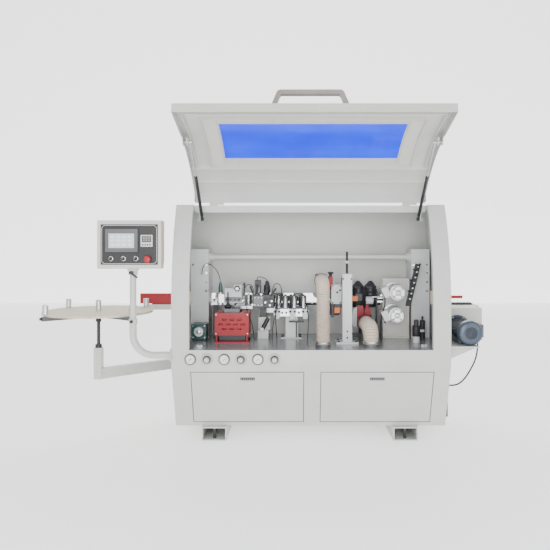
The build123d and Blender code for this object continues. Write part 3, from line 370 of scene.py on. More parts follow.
floor_mesh = bmesh.new()
for corner in ((-9, -9), (9, -9), (9, 9), (-9, 9)):
    floor_mesh.verts.new((*corner, 0))
floor_mesh.faces.new(floor_mesh.verts)
floor_data = bpy.data.meshes.new("floor")
floor_mesh.to_mesh(floor_data)
floor_mesh.free()
floor = bpy.data.objects.new("floor", floor_data)
floor_paint = surface("floor_white", (0.9, 0.9, 0.9), 0.6, vary=0.01, bump=0.0)
floor_glow = floor_paint.node_tree.nodes["Principled BSDF"]
floor_glow.inputs["Emission Color"].default_value = (1, 1, 1, 1)
floor_glow.inputs["Emission Strength"].default_value = 0.75
floor_data.materials.append(floor_paint)
bpy.context.scene.collection.objects.link(floor)

world = bpy.data.worlds.new("studio")
bpy.context.scene.world = world
world.use_nodes = True
world.node_tree.nodes["Background"].inputs["Color"].default_value = (1.0, 1.0, 1.0, 1)
world.node_tree.nodes["Background"].inputs["Strength"].default_value = 0.82


def softbox(name, place, target, size, power):
    """A square area light that faces a point."""
    light_data = bpy.data.lights.new(name, "AREA")
    light_data.size = size
    light_data.energy = power
    light = bpy.data.objects.new(name, light_data)
    light.location = place
    light.rotation_euler = (Vector(target) - Vector(place)).to_track_quat("-Z", "Y").to_euler()
    bpy.context.scene.collection.objects.link(light)


softbox("key_light", (-3.0, -4.2, 3.4), (0, 0, 1.0), 3.0, 120)
softbox("fill_light", (3.4, -3.8, 2.0), (0, 0, 1.0), 3.0, 80)
softbox("front_light", (0.1, -4.6, 1.3), (0.1, 0.4, 1.0), 2.2, 130)
softbox("back_light", (0.5, 3.5, 3.6), (0, 0, 1.0), 3.0, 60)

backdrop_mesh = bmesh.new()
for corner in ((-16, 0), (16, 0), (16, 14), (-16, 14)):
    backdrop_mesh.verts.new((corner[0], 8.9, corner[1]))
backdrop_mesh.faces.new(backdrop_mesh.verts)
backdrop_data = bpy.data.meshes.new("backdrop")
backdrop_mesh.to_mesh(backdrop_data)
backdrop_mesh.free()
backdrop = bpy.data.objects.new("backdrop", backdrop_data)
backdrop_paint = surface("backdrop_white", (0.9, 0.9, 0.9), 0.6, vary=0.01, bump=0.0)
backdrop_glow = backdrop_paint.node_tree.nodes["Principled BSDF"]
backdrop_glow.inputs["Emission Color"].default_value = (1, 1, 1, 1)
backdrop_glow.inputs["Emission Strength"].default_value = 1.6
backdrop_data.materials.append(backdrop_paint)
bpy.context.scene.collection.objects.link(backdrop)

# ------------------------------------------------------------------ cords
drive_cable = cable(
    "drive_cable_lead",
    (
        (1052, 180, 619), (1052, 180, 580), (1046, 175, 530), (1028, 165, 480), (1001, 155, 436),
        (974, 146, 398), (947, 138, 368), (918, 132, 349), (888, 130, 341), (858, 130, 341)
    ),
    5.0, "cable_rubber", "root"
)
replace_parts(drive_cable, "drive_cable")
at(1052, 180, 619)

# ------------------------------------------------------------------ CAD nodes that stay
for subpart in frame["record"]["subparts"]:
    node = frame["nodes"][subpart["node"]]
    if not node.material_slots:
        node.data.materials.append(MATERIALS[subpart["material_slot"]])
    for material_slot in node.material_slots:
        material_slot.material = MATERIALS[subpart["material_slot"]]

for material_slot in frame["nodes"]["deck_plate"].material_slots:
    material_slot.material = MATERIALS["deck_steel"]
bpy.context.view_layer.update()

# ------------------------------------------------------------------ air tubes between fittings
def air_tube(name, points, radius, material="cable_rubber", body="root"):
    """A thin flexible tube held at both ends; the length of its curve is summed."""
    piece = cable(name, points, radius, material, body)
    bare_curve = piece.data.copy()
    bare_curve.bevel_depth = 0
    bare = bpy.data.objects.new(f"{name}_line", bare_curve)
    line = bpy.data.meshes.new_from_object(bare)
    places = [vertex.co.copy() for vertex in line.vertices]
    bpy.data.objects.remove(bare)
    bpy.data.meshes.remove(line)
    length = sum((b - a).length for a, b in zip(places, places[1:]))
    at(*points[0])
    return piece


# ------------------------------------------------------------------ gauges and regulators
GAUGE_XS = (-725, -522, -320)
KNOB_XS = (-625, -422, -220)
GAUGE_Z = 526
gauges = Unit("gauge_row", "root", ["pressure_gauges"], bevel=0.4)
for gauge_x in GAUGE_XS:
    face = at(gauge_x, 0, GAUGE_Z)
    bezel = ((0, 0), (0, 34.5), (4, 34.5), (9, 33), (12.8, 31), (12.8, 27), (9, 26.5), (9, 0))
    add_turned(gauges["grey_metal"], face, -Y, bezel, 48)
    add_turned(gauges["dial_face"], face, -Y, ((9.2, 0), (9.2, 26.4), (9.6, 26.4), (9.6, 0)), 48)
    for tick in range(11):
        angle = radians(225 - tick * 27)
        tick_x, tick_z = gauge_x + 22 * cos(angle), GAUGE_Z + 22 * sin(angle)
        add_box(
            gauges["black_plastic"], (tick_x - 2.5, tick_x + 2.5), (-10.1, -9.5),
            (tick_z - 0.7, tick_z + 0.7), Matrix.Rotation(-angle, 4, "Y")
        )
    add_box(
        gauges["black_plastic"], (gauge_x - 14, gauge_x + 14), (-11.2, -10.6),
        (GAUGE_Z - 1.1, GAUGE_Z + 1.1), Matrix.Rotation(radians(-48), 4, "Y")
    )
    add_rod(gauges["black_plastic"], at(gauge_x, -9.6, GAUGE_Z), -Y, 3, 2.4)
    add_rod(gauges["dark_metal"], at(gauge_x, 1, GAUGE_Z), Y, 23, 41)
for knob_x in KNOB_XS:
    plate = ((0, 0), (0, 34.5), (3.5, 34.5), (6, 32.5), (6, 29), (4.4, 27.5), (4.4, 0))
    add_turned(gauges["cabinet_paint"], at(knob_x, 0, GAUGE_Z), -Y, plate, 48)
    add_tube(gauges["grey_metal"], at(knob_x, 0, GAUGE_Z), -Y, 35.1, 34.2, 4)
    add_rod(gauges["dark_metal"], at(knob_x, 1, GAUGE_Z), Y, 23, 59)
    add_rod(gauges["steel"], at(knob_x, -4.2, GAUGE_Z), -Y, 8, 12)
gauges.done()

for number, knob_x in enumerate(KNOB_XS, 1):
    knob = Unit(f"regulator_cap_{number}", f"regulator_knob_{number}", [f"regulator_knob_{number}"], 0.5)
    start = at(knob_x, -6.6, GAUGE_Z)
    # The skirt is dark grey as painted shade: it stands for the shadow ring around the light grip.
    skirt_with_painted_shade = ((0, 8.2), (0, 24.5), (3, 25), (8, 19), (11, 16.5), (11, 8.2))
    add_turned(knob["grey_metal"], start, -Y, skirt_with_painted_shade, 40)
    grip = ((11, 8.2), (11, 15), (26, 13.6), (29, 11), (29.6, 8), (29.6, 0))
    add_turned(knob["panel_paint"], start, -Y, grip, 40)
    for rib in range(18):
        angle = 2 * pi * rib / 18
        rib_start = start + (X * cos(angle) + Z * sin(angle)) * 0.0140 - Y * 0.012
        add_rod(knob["panel_paint"], rib_start, -Y, 1.5, 14, 8)
    knob.done()

# ------------------------------------------------------------------ doors
DOOR_PLATES = {"door_left": -384, "door_right": 400}
SLOPE = atan2(150, 402)
for door, plate_x in DOOR_PLATES.items():
    plate = Unit(f"{door}_plate", door, bevel=0.5)
    plate_z = 402
    plate_y = (488 - plate_z) * 150 / 402
    lean = Matrix.Rotation(SLOPE, 4, "X")
    add_box(
        plate["dark_metal"], (plate_x - 44, plate_x + 44), (plate_y - 3, plate_y + 0.2),
        (plate_z - 9, plate_z + 9), lean
    )
    for cell in range(7):
        cell_x = plate_x - 36 + cell * 12
        add_box(
            plate["line_grey"], (cell_x - 3.6, cell_x + 3.6), (plate_y - 3.8, plate_y - 1),
            (plate_z - 5, plate_z + 5), lean
        )
    plate.done()

# ------------------------------------------------------------------ feet and rest pads
DOOR_EDGES = {"left": (-725, -45), "right": (60, 740)}
DOOR_LOW, DOOR_HIGH = 114, 445
# Painted shade: dark grey strips line the door gaps and stand for the shade that falls in them.
GAP_SHADE_WIDTH = 3.2
gap_shade = Unit("door_gap_shade", "root", bevel=0)


def slope_y(z):
    """The depth of the sloped front at a height."""
    return (488 - z) * 150 / 402


for low, high in DOOR_EDGES.values():
    gap_shade_strips = (
        ((low - GAP_SHADE_WIDTH, high + GAP_SHADE_WIDTH), (DOOR_HIGH, DOOR_HIGH + GAP_SHADE_WIDTH)),
        ((low - GAP_SHADE_WIDTH, high + GAP_SHADE_WIDTH), (DOOR_LOW - GAP_SHADE_WIDTH, DOOR_LOW)),
        ((low - GAP_SHADE_WIDTH, low), (DOOR_LOW, DOOR_HIGH)), ((high, high + GAP_SHADE_WIDTH), (DOOR_LOW, DOOR_HIGH))
    )
    for strip_x, strip_z in gap_shade_strips:
        outline = [at(strip_x[0], slope_y(z) - proud, z) for z, proud in (
            (strip_z[0], 0.5), (strip_z[1], 0.5), (strip_z[1], -1), (strip_z[0], -1)
        )]
        add_prism(gap_shade["grey_metal"], outline, X * (strip_x[1] - strip_x[0]) / 1000)
gap_shade.done()
levelling = Unit("levelling_screws", "root")
for foot_x in (-598, 588):
    for foot_y in (150, 800):
        add_rod(levelling["dark_metal"], at(foot_x, foot_y, 8.2), Z, 9, 40)
        add_turned(
            levelling["black_plastic"], at(foot_x, foot_y, 46), Z,
            ((0, 9), (0, 15), (3, 17), (17, 17), (20, 15), (20, 9), (0, 9)), 24
        )
levelling.done()
pads = Unit("rest_pads", "root", bevel=1.5)
for pad_x, pad_y in ((-688, 116), (708, 142)):
    for side in (-10, 10):
        add_turned(
            pads["white_paint"], at(pad_x + side, pad_y, 581), Z,
            ((0, 0), (0, 10.5), (9, 10.5), (11, 8.5), (11, 4.5), (8, 4), (8, 0)), 24
        )
pads.done()

# ------------------------------------------------------------------ lid
HINGE_Y, HINGE_Z, LID_OPEN = 238.0, 1475.0, radians(-105)
CURVE_RADIUS, CURVE_START = 1224.9, 850.0


def lid_point(x, inset, height):
    """A point at a depth inside the closed lid's skin and at a closed height, on the open lid."""
    y = inset
    if height > CURVE_START:
        y = CURVE_RADIUS - ((CURVE_RADIUS - inset) ** 2 - (height - CURVE_START) ** 2) ** 0.5
    dy, dz = y - HINGE_Y, height - HINGE_Z
    return at(
        x,
        HINGE_Y + dy * cos(LID_OPEN) - dz * sin(LID_OPEN),
        HINGE_Z + dy * sin(LID_OPEN) + dz * cos(LID_OPEN),
    )


def lid_inward(height):
    """The direction from the lid's skin into the machine, on the open lid."""
    return (lid_point(0, 10, height) - lid_point(0, 0, height)).normalized()


def add_lid_strip(mesh, x, heights, inset, thickness, steps=10):
    """A strip on the inside of the lid that follows its curve."""
    low, high = heights
    levels = [low + (high - low) * step / steps for step in range(steps + 1)]
    outline = [lid_point(x[0], inset, level) for level in levels]
    outline += [lid_point(x[0], inset + thickness, level) for level in reversed(levels)]
    add_prism(mesh, outline, X * (x[1] - x[0]) / 1000)


WINDOW_HALF = 524
lining = Unit("lid_lining", "lid", bevel=0.8)
paint = lining["panel_paint"]
for side in (-1, 1):
    edge = sorted((side * (WINDOW_HALF + 2), side * (WINDOW_HALF + 78)))
    add_lid_strip(paint, edge, (764, 1226), 7.2, 4)
    fold = sorted((side * (WINDOW_HALF + 78), side * (WINDOW_HALF + 82)))
    add_lid_strip(paint, fold, (750, 1240), 3.0, 16)
    outer_fold = sorted((side * 690, side * 694))
    add_lid_strip(paint, outer_fold, (660, 1250), 3.0, 22)
add_lid_strip(paint, (-WINDOW_HALF - 82, WINDOW_HALF + 82), (740, 744), 3.0, 16, 1)
add_lid_strip(paint, (-694, 694), (655, 659), 3.0, 26, 1)
add_lid_strip(paint, (-724, 724), (1246, 1250), 3.0, 24, 1)
add_lid_strip(paint, (-724, 724), (1252, 1262), 3.0, 10, 1)
add_lid_strip(paint, (-724, 724), (1368, 1373), 3.0, 12, 1)
lining.done()

springs = Unit("spring_brackets", "root", bevel=0.6)
for side in (-1, 1):
    outline = [at(side * 695, y, z) for y, z in ((180, 1424), (250, 1424), (226, 1362), (204, 1362))]
    add_prism(springs["white_paint"], outline, X * side * 0.004)
    add_bolt(springs["steel"], at(side * 694, 215, 1376), -X * side, 8, 5)
springs.done()
spring_tops = Unit("spring_top_washers", "lid", bevel=0.6)
for side in (-1, 1):
    outline = [at(side * 697, y, z) for y, z in ((-290, 1806), (-208, 1830), (-226, 1772), (-262, 1768))]
    add_prism(spring_tops["white_paint"], outline, X * side * 0.004)
    add_bolt(spring_tops["steel"], at(side * 694, -249, 1788), -X * side, 8, 5)
spring_tops.done()

screws = Unit("window_screws", "lid", bevel=0)
for height in (783, 1207):
    for count in range(11):
        screw_x = -540 + count * 108
        add_bolt(screws["steel"], lid_point(screw_x, 6.8, height), lid_inward(height), 4.2, 2.6)
for height in (870, 960, 1050, 1140):
    for screw_x in (-541, 541):
        add_bolt(screws["steel"], lid_point(screw_x, 6.8, height), lid_inward(height), 4.2, 2.6)
screws.done()

# ------------------------------------------------------------------ control panel
PANEL_X = (-1278, -895)
panel = Unit("panel_case", "control_panel", ["control_box"], bevel=4.0)
side_profile = ((-20, 1070), (-20, 1359), (67, 1359), (67, 1120), (41, 1070))
outline = [at(PANEL_X[0], y, z) for y, z in side_profile]
add_prism(panel["panel_paint"], outline, X * (PANEL_X[1] - PANEL_X[0]) / 1000)
for side_x in (PANEL_X[0] - 0.6, PANEL_X[1]):
    outline = [at(side_x, y, z) for y, z in ((-17, 1073), (-17, 1356), (64, 1356), (64, 1121), (40, 1073))]
    add_prism(panel["cream_paint"], outline, X * 0.0006)
panel.done()
face = Unit("panel_face", "control_panel", bevel=0.8)
add_box(face["black_plastic"], (-1256.5, -915.5), (-22.4, -19.5), (1094.5, 1335.5))
border = (
    (-1236, 1101), (-936, 1101), (-922, 1115), (-922, 1315), (-936, 1329), (-1236, 1329), (-1250, 1315),
    (-1250, 1115)
)
for start, end in zip(border, border[1:] + border[:1]):
    run = Vector((end[0] - start[0], end[1] - start[1])).normalized() * 1.3
    outline = [
        at(x, -22, z)
        for x, z in (
            (start[0] - run.y, start[1] + run.x),
            (end[0] - run.y, end[1] + run.x),
            (end[0] + run.y, end[1] - run.x),
            (start[0] + run.y, start[1] - run.x),
        )
    ]
    add_prism(face["panel_paint"], outline, Y * -0.0006)
add_box(face["black_plastic"], (-1233, -1029), (-28, -22), (1165.5, 1312.5))
add_box(face["grey_metal"], (-1227, -1035), (-28.6, -27.6), (1171, 1307))
add_box(face["black_plastic"], (-1209.5, -1052.5), (-29, -28.4), (1192, 1283))
add_box(face["screen_glass"], (-1207.5, -1054.5), (-29.6, -28.8), (1194, 1281))
for row in range(3):
    for column in range(4):
        cell_x, cell_z = -1196 + column * 34, 1206 + row * 24
        add_box(face["dial_face"], (cell_x, cell_x + 26), (-30, -29.4), (cell_z, cell_z + 16))
add_box(face["white_paint"], (-1016, -946), (-30, -22), (1202, 1272))
add_box(face["display_grey"], (-1010, -952), (-30.6, -29.6), (1228, 1266))
for key in range(4):
    key_x = -1008 + key * 14.5
    add_box(face["black_plastic"], (key_x, key_x + 9), (-31, -29.6), (1209, 1218))
for digit in range(3):
    for bar_z in (1240, 1249, 1258):
        digit_x = -1001 + digit * 15
        add_box(face["dial_face"], (digit_x, digit_x + 9), (-31, -30.4), (bar_z, bar_z + 1.6))
for lamp_x in (-1196, -1121, -1047):
    add_turned(
        face["steel"], at(lamp_x, -22, 1131), -Y, ((0, 0), (0, 15), (2, 15), (3, 13.4), (3, 0)), 40
    )
add_turned(face["dark_metal"], at(-975, -22, 1128), -Y, ((0, 0), (0, 23), (1, 23), (1, 0)), 40)
add_turned(face["black_plastic"], at(-975, -23, 1128), -Y, ((0, 0), (0, 16), (7, 15), (7, 0)), 40)
face.done()
stop = Unit("stop_button", "e_stop", ["e_stop"], 0.3)
add_turned(
    stop["red_plastic"], at(-975, -35.4, 1128), -Y,
    ((0, 0), (0, 18.5), (1.5, 20.4), (5, 21), (9, 19.6), (12, 15.5), (13.6, 9), (14, 0)), 48
)
stop.done()
for number, selector_x in enumerate((-1196, -1121, -1047), 1):
    switch = Unit(f"switch_{number}", f"selector_{number}", [f"selector_{number}"], 0.7)
    profile = ((0, 0), (0, 11.4), (6, 11.6), (8, 10), (8, 0))
    add_turned(switch["black_plastic"], at(selector_x, -25.4, 1131), -Y, profile, 40)
    add_box(
        switch["black_plastic"], (selector_x - 3.6, selector_x + 3.6), (-45.2, -33), (1120.5, 1141.5)
    )
    add_box(switch["dial_face"], (selector_x - 0.8, selector_x + 0.8), (-45.6, -44.6), (1131, 1141))
    switch.done()
lever = Unit("clamp_handle", "clamp_lever", ["clamp_lever"], 0.4)
add_rod(lever["black_plastic"], at(-1071, -16.6, 1046), -Y, 11, 12)
add_turned(
    lever["black_plastic"], at(-1087, -24, 1051), (0.83, 0, -0.55),
    ((0, 0), (0, 7), (8, 8), (16, 5), (40, 5.4), (58, 6.4), (62, 5), (63, 0)), 24
)
lever.done()

# ------------------------------------------------------------------ tape reel table
REEL = (-1367, 295)
PIN_REACH = 342
reel = Unit("reel_frame", "reel_table", ["reel_cross"], bevel=0.8)
for angle in (42, 142):
    turn = radians(angle)
    direction = Vector((cos(turn), sin(turn), 0))
    middle = at(*REEL, 761)
    across = Vector((-direction.y, direction.x, 0)) * 0.014
    reach = direction * 0.363
    outline = [
        middle + reach + across, middle + reach - across, middle - reach - across,
        middle - reach + across
    ]
    outline = [point - Z * 0.014 for point in outline]
    add_prism(reel["grey_metal"], outline, Z * 0.0278)
    for end in (-1, 1):
        add_turned(
            reel["black_plastic"], middle + direction * end * 0.3625, direction * end,
            ((0, 0), (0, 6), (3, 6), (4, 9), (14, 9), (15, 7), (15, 0)), 20
        )
for angle in (42, 142, 222, 322):
    turn = radians(angle)
    pin = at(REEL[0] + PIN_REACH * cos(turn), REEL[1] + PIN_REACH * sin(turn), 788)
    profile = ((0, 0), (0, 18.5), (54, 18.5), (58, 15), (58, 5), (55, 4), (55, 0))
    add_turned(reel["aluminium"], pin, Z, profile, 36)
profile = ((0, 0), (0, 17.5), (64, 17.5), (70, 12), (70, 0))
add_turned(reel["aluminium"], at(*REEL, 788), Z, profile, 36)
add_tube(reel["dark_metal"], at(*REEL, 744.6), Z, 19.5, 10.1, 14)
reel.done()
spindle = Unit("reel_screw", "reel_spindle", ["reel_spindle"], 0)
thread = [(0, 0), (0, 10.6)]
for turn_number in range(34):
    thread += [(8 * turn_number + 2, 10.6), (8 * turn_number + 4, 11.5), (8 * turn_number + 6, 10.6)]
thread += [(276, 10.6), (276, 0)]
add_turned(spindle["dark_metal"], at(*REEL, 440), Z, thread, 28)
add_turned(
    spindle["dark_metal"], at(*REEL, 716), Z,
    ((0, 0), (0, 17), (3, 19.5), (25, 19.5), (28, 17), (28, 10), (70, 10), (70, 0)), 6
)
spindle.done()
nut = Unit("reel_post_nut", "root", bevel=0.6)
add_tube(nut["black_plastic"], at(*REEL, 549), Z, 21.2, 11.7, 22, 28)
nut.done()

# ------------------------------------------------------------------ drive motor at the outfeed
MOTOR = (969, 677)
motor = Unit("drive_motor_body", "root", ["drive_motor"], bevel=0.8)
add_turned(
    motor["motor_blue"], at(MOTOR[0], 30, MOTOR[1]), Y,
    ((2, 0), (2, 34), (0, 36), (0, 60), (6, 70), (14, 74), (60, 74), (60, 66), (62, 66), (62, 0)), 56
)
for ring in range(4):
    profile = (
        (0, 8 + ring * 8), (0, 11 + ring * 8), (2.4, 11 + ring * 8), (2.4, 8 + ring * 8),
        (0, 8 + ring * 8)
    )
    add_turned(motor["dark_metal"], at(MOTOR[0], 28.2, MOTOR[1]), Y, profile, 40)
add_turned(
    motor["motor_blue"], at(MOTOR[0], 90, MOTOR[1]), Y,
    ((0, 0), (0, 60), (240, 60), (240, 77), (257, 77), (259, 74), (259, 0)), 56
)
add_fins(motor["motor_blue"], at(MOTOR[0], 96, MOTOR[1]), Z, Y, 32, 59.5, 8.5, 226, 1.1)
add_box(motor["motor_blue"], (1026, 1074), (130, 230), (637, 717))
add_box(motor["motor_blue"], (1030, 1076), (134, 226), (641, 713))
for screw_y in (140, 220):
    for screw_z in (647, 707):
        add_bolt(motor["steel"], at(1075, screw_y, screw_z), X, 4, 3)
for foot_x in (930, 1001):
    add_box(motor["motor_blue"], (foot_x - 13, foot_x + 13), (120, 300), (599, 640))
for bolt in range(6):
    angle = 2 * pi * bolt / 6
    place = at(MOTOR[0] + 69 * cos(angle), 330, MOTOR[1] + 69 * sin(angle))
    add_bolt(motor["steel"], place, -Y, 5, 5)
add_rod(motor["steel"], at(MOTOR[0], 349, MOTOR[1]), Y, 14, 70)
motor.done()

# ------------------------------------------------------------------ feed motor
feeder = Unit("feed_motor_body", "root", ["feed_motor"], bevel=1.2)
add_box(feeder["motor_teal"], (-778, -682), (372, 478), (590, 688))
for fin in range(9):
    fin_z = 596 + fin * 10.5
    add_box(feeder["motor_teal"], (-780, -680), (376, 474), (fin_z, fin_z + 4))
add_box(feeder["dark_metal"], (-775, -685), (375, 475), (581, 590))
add_turned(
    feeder["aluminium"], at(-730, 372, 640), -Y,
    ((0, 0), (0, 32), (10, 32), (13, 29), (13, 18), (9, 16), (9, 12), (21, 12), (22, 10), (22, 0)), 40
)
for bolt_x in (-768, -692):
    for bolt_z in (602, 678):
        add_bolt(feeder["steel"], at(bolt_x, 371, bolt_z), -Y, 5, 4)
feeder.done()

# ------------------------------------------------------------------ glue pot and tape feed
guard_bolts = Unit("guard_bolts", "root", bevel=0)
for bolt_x in (-606, -403):
    for bolt_z in (640, 762):
        add_bolt(guard_bolts["steel"], at(bolt_x, 283, bolt_z), -Y, 4.5, 3)
for row_z, count in ((670, 3), (700, 4), (730, 3)):
    for number in range(count):
        louvre_x = -504 + (number - (count - 1) / 2) * 48
        hood = bmesh.ops.create_uvsphere(guard_bolts["red_paint"], u_segments=20, v_segments=12, radius=1)
        shape = Matrix.Translation(at(louvre_x, 283, row_z + 1)) @ Matrix.Diagonal((0.016, 0.005, 0.0055, 1))
        bmesh.ops.transform(guard_bolts["red_paint"], matrix=shape, verts=hood["verts"])
guard_bolts.done()
tape = Unit("tape_feed", "root", ["tape_feed_unit"], bevel=1.2)
add_box(tape["dark_metal"], (-590, -420), (320, 460), (589, 626))
add_box(tape["grey_metal"], (-555, -455), (305, 455), (626, 798))
add_box(tape["aluminium"], (-500, -380), (470, 650), (780, 800))
add_box(tape["aluminium"], (-664, -510), (480, 670), (806, 818))
add_box(tape["dark_metal"], (-660, -630), (560, 600), (581, 806))
add_box(tape["aluminium"], (-640, -520), (500, 560), (818, 872))
add_box(tape["aluminium"], (-655, -520), (470, 484), (818, 846))
for slot_x in range(-640, -530, 22):
    add_bolt(tape["dark_metal"], at(slot_x, 470, 832), -Y, 5, 4)
add_box(tape["aluminium"], (-600, -562), (372, 430), (830, 888))
add_box(tape["white_paint"], (-560, -448), (374, 430), (830, 926))
add_box(tape["grey_metal"], (-556, -452), (366, 374), (838, 868))
for bolt_x in (-548, -520, -492, -464):
    add_bolt(tape["dark_metal"], at(bolt_x, 366, 853), -Y, 6, 5)
add_box(tape["grey_metal"], (-600, -560), (430, 500), (830, 860))
add_box(tape["white_paint"], (-500, -448), (372, 400), (890, 948))
add_rod(tape["steel"], at(-474, 372, 926), -Y, 6, 38)
add_turned(
    tape["aluminium"], at(-590, 400, 816), Z,
    ((0, 0), (0, 22), (20, 22), (22, 17), (40, 17), (44, 20), (58, 20), (60, 15), (82, 13), (82, 0)), 28
)
add_turned(
    tape["motor_teal"], at(-590, 400, 896), Z,
    ((0, 0), (0, 13.5), (40, 13.5), (42, 11), (56, 11), (60, 8), (69, 8), (69, 0)), 28
)
add_turned(
    tape["black_plastic"], at(-536, 350, 903), -Z,
    ((0, 0), (0, 4.5), (66, 4.5), (67, 9), (78, 10), (92, 24), (96, 24), (108, 9), (108, 0)), 28
)
for fitting_x, fitting_z in ((-628, 850), (-610, 872), (-440, 858), (-430, 836)):
    add_rod(tape["grey_metal"], at(fitting_x, 384, fitting_z), -Y, 9, 22, 20)
add_rod(tape["steel"], at(-420, 640, 800), Z, 7.9, 70)
add_rod(tape["dark_metal"], at(-430, 380, 880), Z, 5, 70)
add_turned(tape["dark_metal"], at(-430, 380, 945), Z, ((0, 0), (0, 10), (20, 4), (20, 0)), 24)
for guide_x in (-630, -560):
    add_tube(tape["steel"], at(guide_x, 585, 818), Z, 16, 6, 40)
tape.done()
star = Unit("tension_star", "tension_knob", ["tension_knob"], 0.8)
for lobe in range(6):
    angle = 2 * pi * lobe / 6
    place = at(-474 + 14.5 * cos(angle), 350, 926 + 14.5 * sin(angle))
    add_rod(star["black_plastic"], place, -Y, 6, 16, 20, 1.5)
add_turned(
    star["black_plastic"], at(-474, 350, 926), -Y,
    ((0, 6.1), (0, 17), (15, 17), (17, 14), (17, 6.1), (0, 6.1)), 36
)
add_turned(
    star["dial_face"], at(-474, 332.6, 926), -Y, ((0, 6.2), (0, 11), (1.2, 11), (1.2, 6.2), (0, 6.2)),
    30
)
star.done()
glue = Unit("glue_wheel", "glue_roller", ["glue_roller"], 0.5)
add_tube(glue["steel"], at(-420, 640, 800.4), Z, 28, 8.1, 62)
for groove in range(10):
    groove_low = 804 + groove * 5.6
    add_tube(glue["steel"], at(-420, 640, groove_low), Z, 28.2, 27, 3.2, 36, 0.3)
glue.done()

# ------------------------------------------------------------------ tape cutter
cutter = Unit("cutter", "root", ["tape_cutter"], bevel=1.2)
add_box(cutter["white_paint"], (-345, -275), (450, 560), (581, 640))
add_box(cutter["white_paint"], (-342, -262), (470, 540), (640, 724))
add_box(cutter["dark_metal"], (-330, -290), (470, 540), (724, 790))
add_box(cutter["dark_metal"], (-380, -235), (420, 560), (790, 880))
add_box(cutter["grey_metal"], (-372, -306), (414, 424), (800, 872))
add_box(cutter["dark_metal"], (-300, -240), (404, 424), (796, 852))
for lever_x, lever_z, lean in ((-372, 878, -0.35), (-352, 884, 0.1), (-300, 884, 0.45), (-258, 872, 0.7)):
    add_rod(cutter["dark_metal"], at(lever_x, 412, lever_z), (lean, -0.1, 1), 6, 64, 16)
for fitting_x, fitting_z in ((-378, 815), (-292, 830), (-262, 812), (-250, 840), (-320, 884)):
    add_rod(cutter["steel"], at(fitting_x, 406, fitting_z), -Y, 7, 12, 20)
add_box(cutter["dark_metal"], (-365, -325), (430, 500), (880, 975))
add_box(cutter["grey_metal"], (-361, -329), (424, 432), (890, 930))
for bolt_x in (-362, -340, -318):
    for bolt_z in (812, 860):
        add_bolt(cutter["steel"], at(bolt_x, 414, bolt_z), -Y, 4.5, 3.5)
add_turned(
    cutter["dark_metal"], at(-285, 470, 880), Z,
    ((0, 0), (0, 20), (60, 20), (64, 17), (64, 12), (84, 12), (90, 7), (90, 0)), 32
)
add_box(cutter["aluminium"], (-375, -300), (560, 640), (810, 822))
add_box(cutter["steel"], (-330, -322), (640, 690), (812, 868))
add_turned(
    cutter["dark_metal"], at(-312, 440, 650), (0.46, 0, 0.89),
    ((0, 0), (0, 14), (78, 14), (82, 11), (82, 0)), 32
)
add_turned(
    cutter["dial_face"], at(-316, 428, 648), (0, -1, 0), ((0, 0), (0, 12), (6, 12), (8, 9), (8, 0)), 24
)
for fitting_x in (-370, -350, -262, -246):
    add_rod(cutter["aluminium"], at(fitting_x, 430, 880), Z, 5, 14, 12)
cutter.done()

# ------------------------------------------------------------------ press rollers
press = Unit("press_frame", "root", ["press_unit"], bevel=1.5)
add_box(press["white_paint"], (-190, -50), (456, 556), (581, 589))
for bolt_x in (-180, -60):
    for bolt_y in (466, 546):
        add_bolt(press["dark_metal"], at(bolt_x, bolt_y, 589), Z, 8, 9)
add_box(press["white_paint"], (-158, -76), (470, 545), (589, 732))
add_box(press["aluminium"], (-232, -8), (440, 689), (732, 784))
add_box(press["aluminium"], (-305, -232), (600, 689), (740, 784))
add_box(press["dark_metal"], (-136, -36), (428, 440), (694, 705))
add_rod(press["dark_metal"], at(-86, 434, 694), -Z, 4, 100, 16)
for bracket_x in (-216, -112, -26):
    outline = [
        at(bracket_x + x, 440, z) for x,
        z in ((-26, 772), (-20, 782), (20, 782), (26, 772), (14, 716), (-14, 716))
    ]
    add_prism(press["white_paint"], outline, Y * -0.008)
    for side in (-14, 14):
        add_bolt(press["dark_metal"], at(bracket_x + side, 432, 766), -Y, 7, 6)
for bolt_x in (-182, -154, -70):
    add_bolt(press["dark_metal"], at(bolt_x, 440, 758), -Y, 7, 7)
for boss_x in (-160, -78):
    outline = [at(boss_x - 24, 450, 784), at(boss_x + 24, 450, 784), at(boss_x, 500, 784)]
    add_prism(press["dark_metal"], outline, Z * 0.018)
    add_bolt(press["steel"], at(boss_x, 466, 802), Z, 6, 5)
for roller_x in (-262, -192, -122, -45):
    add_rod(press["steel"], at(roller_x, 668, 784), Z, 7.9, 72)
    add_turned(
        press["dark_metal"], at(roller_x, 668, 854.8), Z,
        ((0, 0), (0, 11), (5, 11), (5.2, 7), (9, 7), (9, 0)), 6
    )
for cylinder_x in (-206, -160, -100, -38):
    add_box(press["dark_metal"], (cylinder_x - 20, cylinder_x + 20), (476, 540), (784, 866))
    add_turned(
        press["steel"], at(cylinder_x, 462, 788), Z,
        ((0, 0), (0, 17), (10, 17), (14, 15), (62, 11), (66, 11), (70, 8), (82, 7), (84, 0)), 28
    )
    add_rod(press["dark_metal"], at(cylinder_x, 462, 868), Z, 8, 12, 20)
    add_bolt(press["steel"], at(cylinder_x + 23, 486, 826), -Y, 7, 9)
for pipe_x in (-183, -130, -70):
    add_rod(press["dark_metal"], at(pipe_x, 500, 784), Z, 12, 76, 20)
press.done()
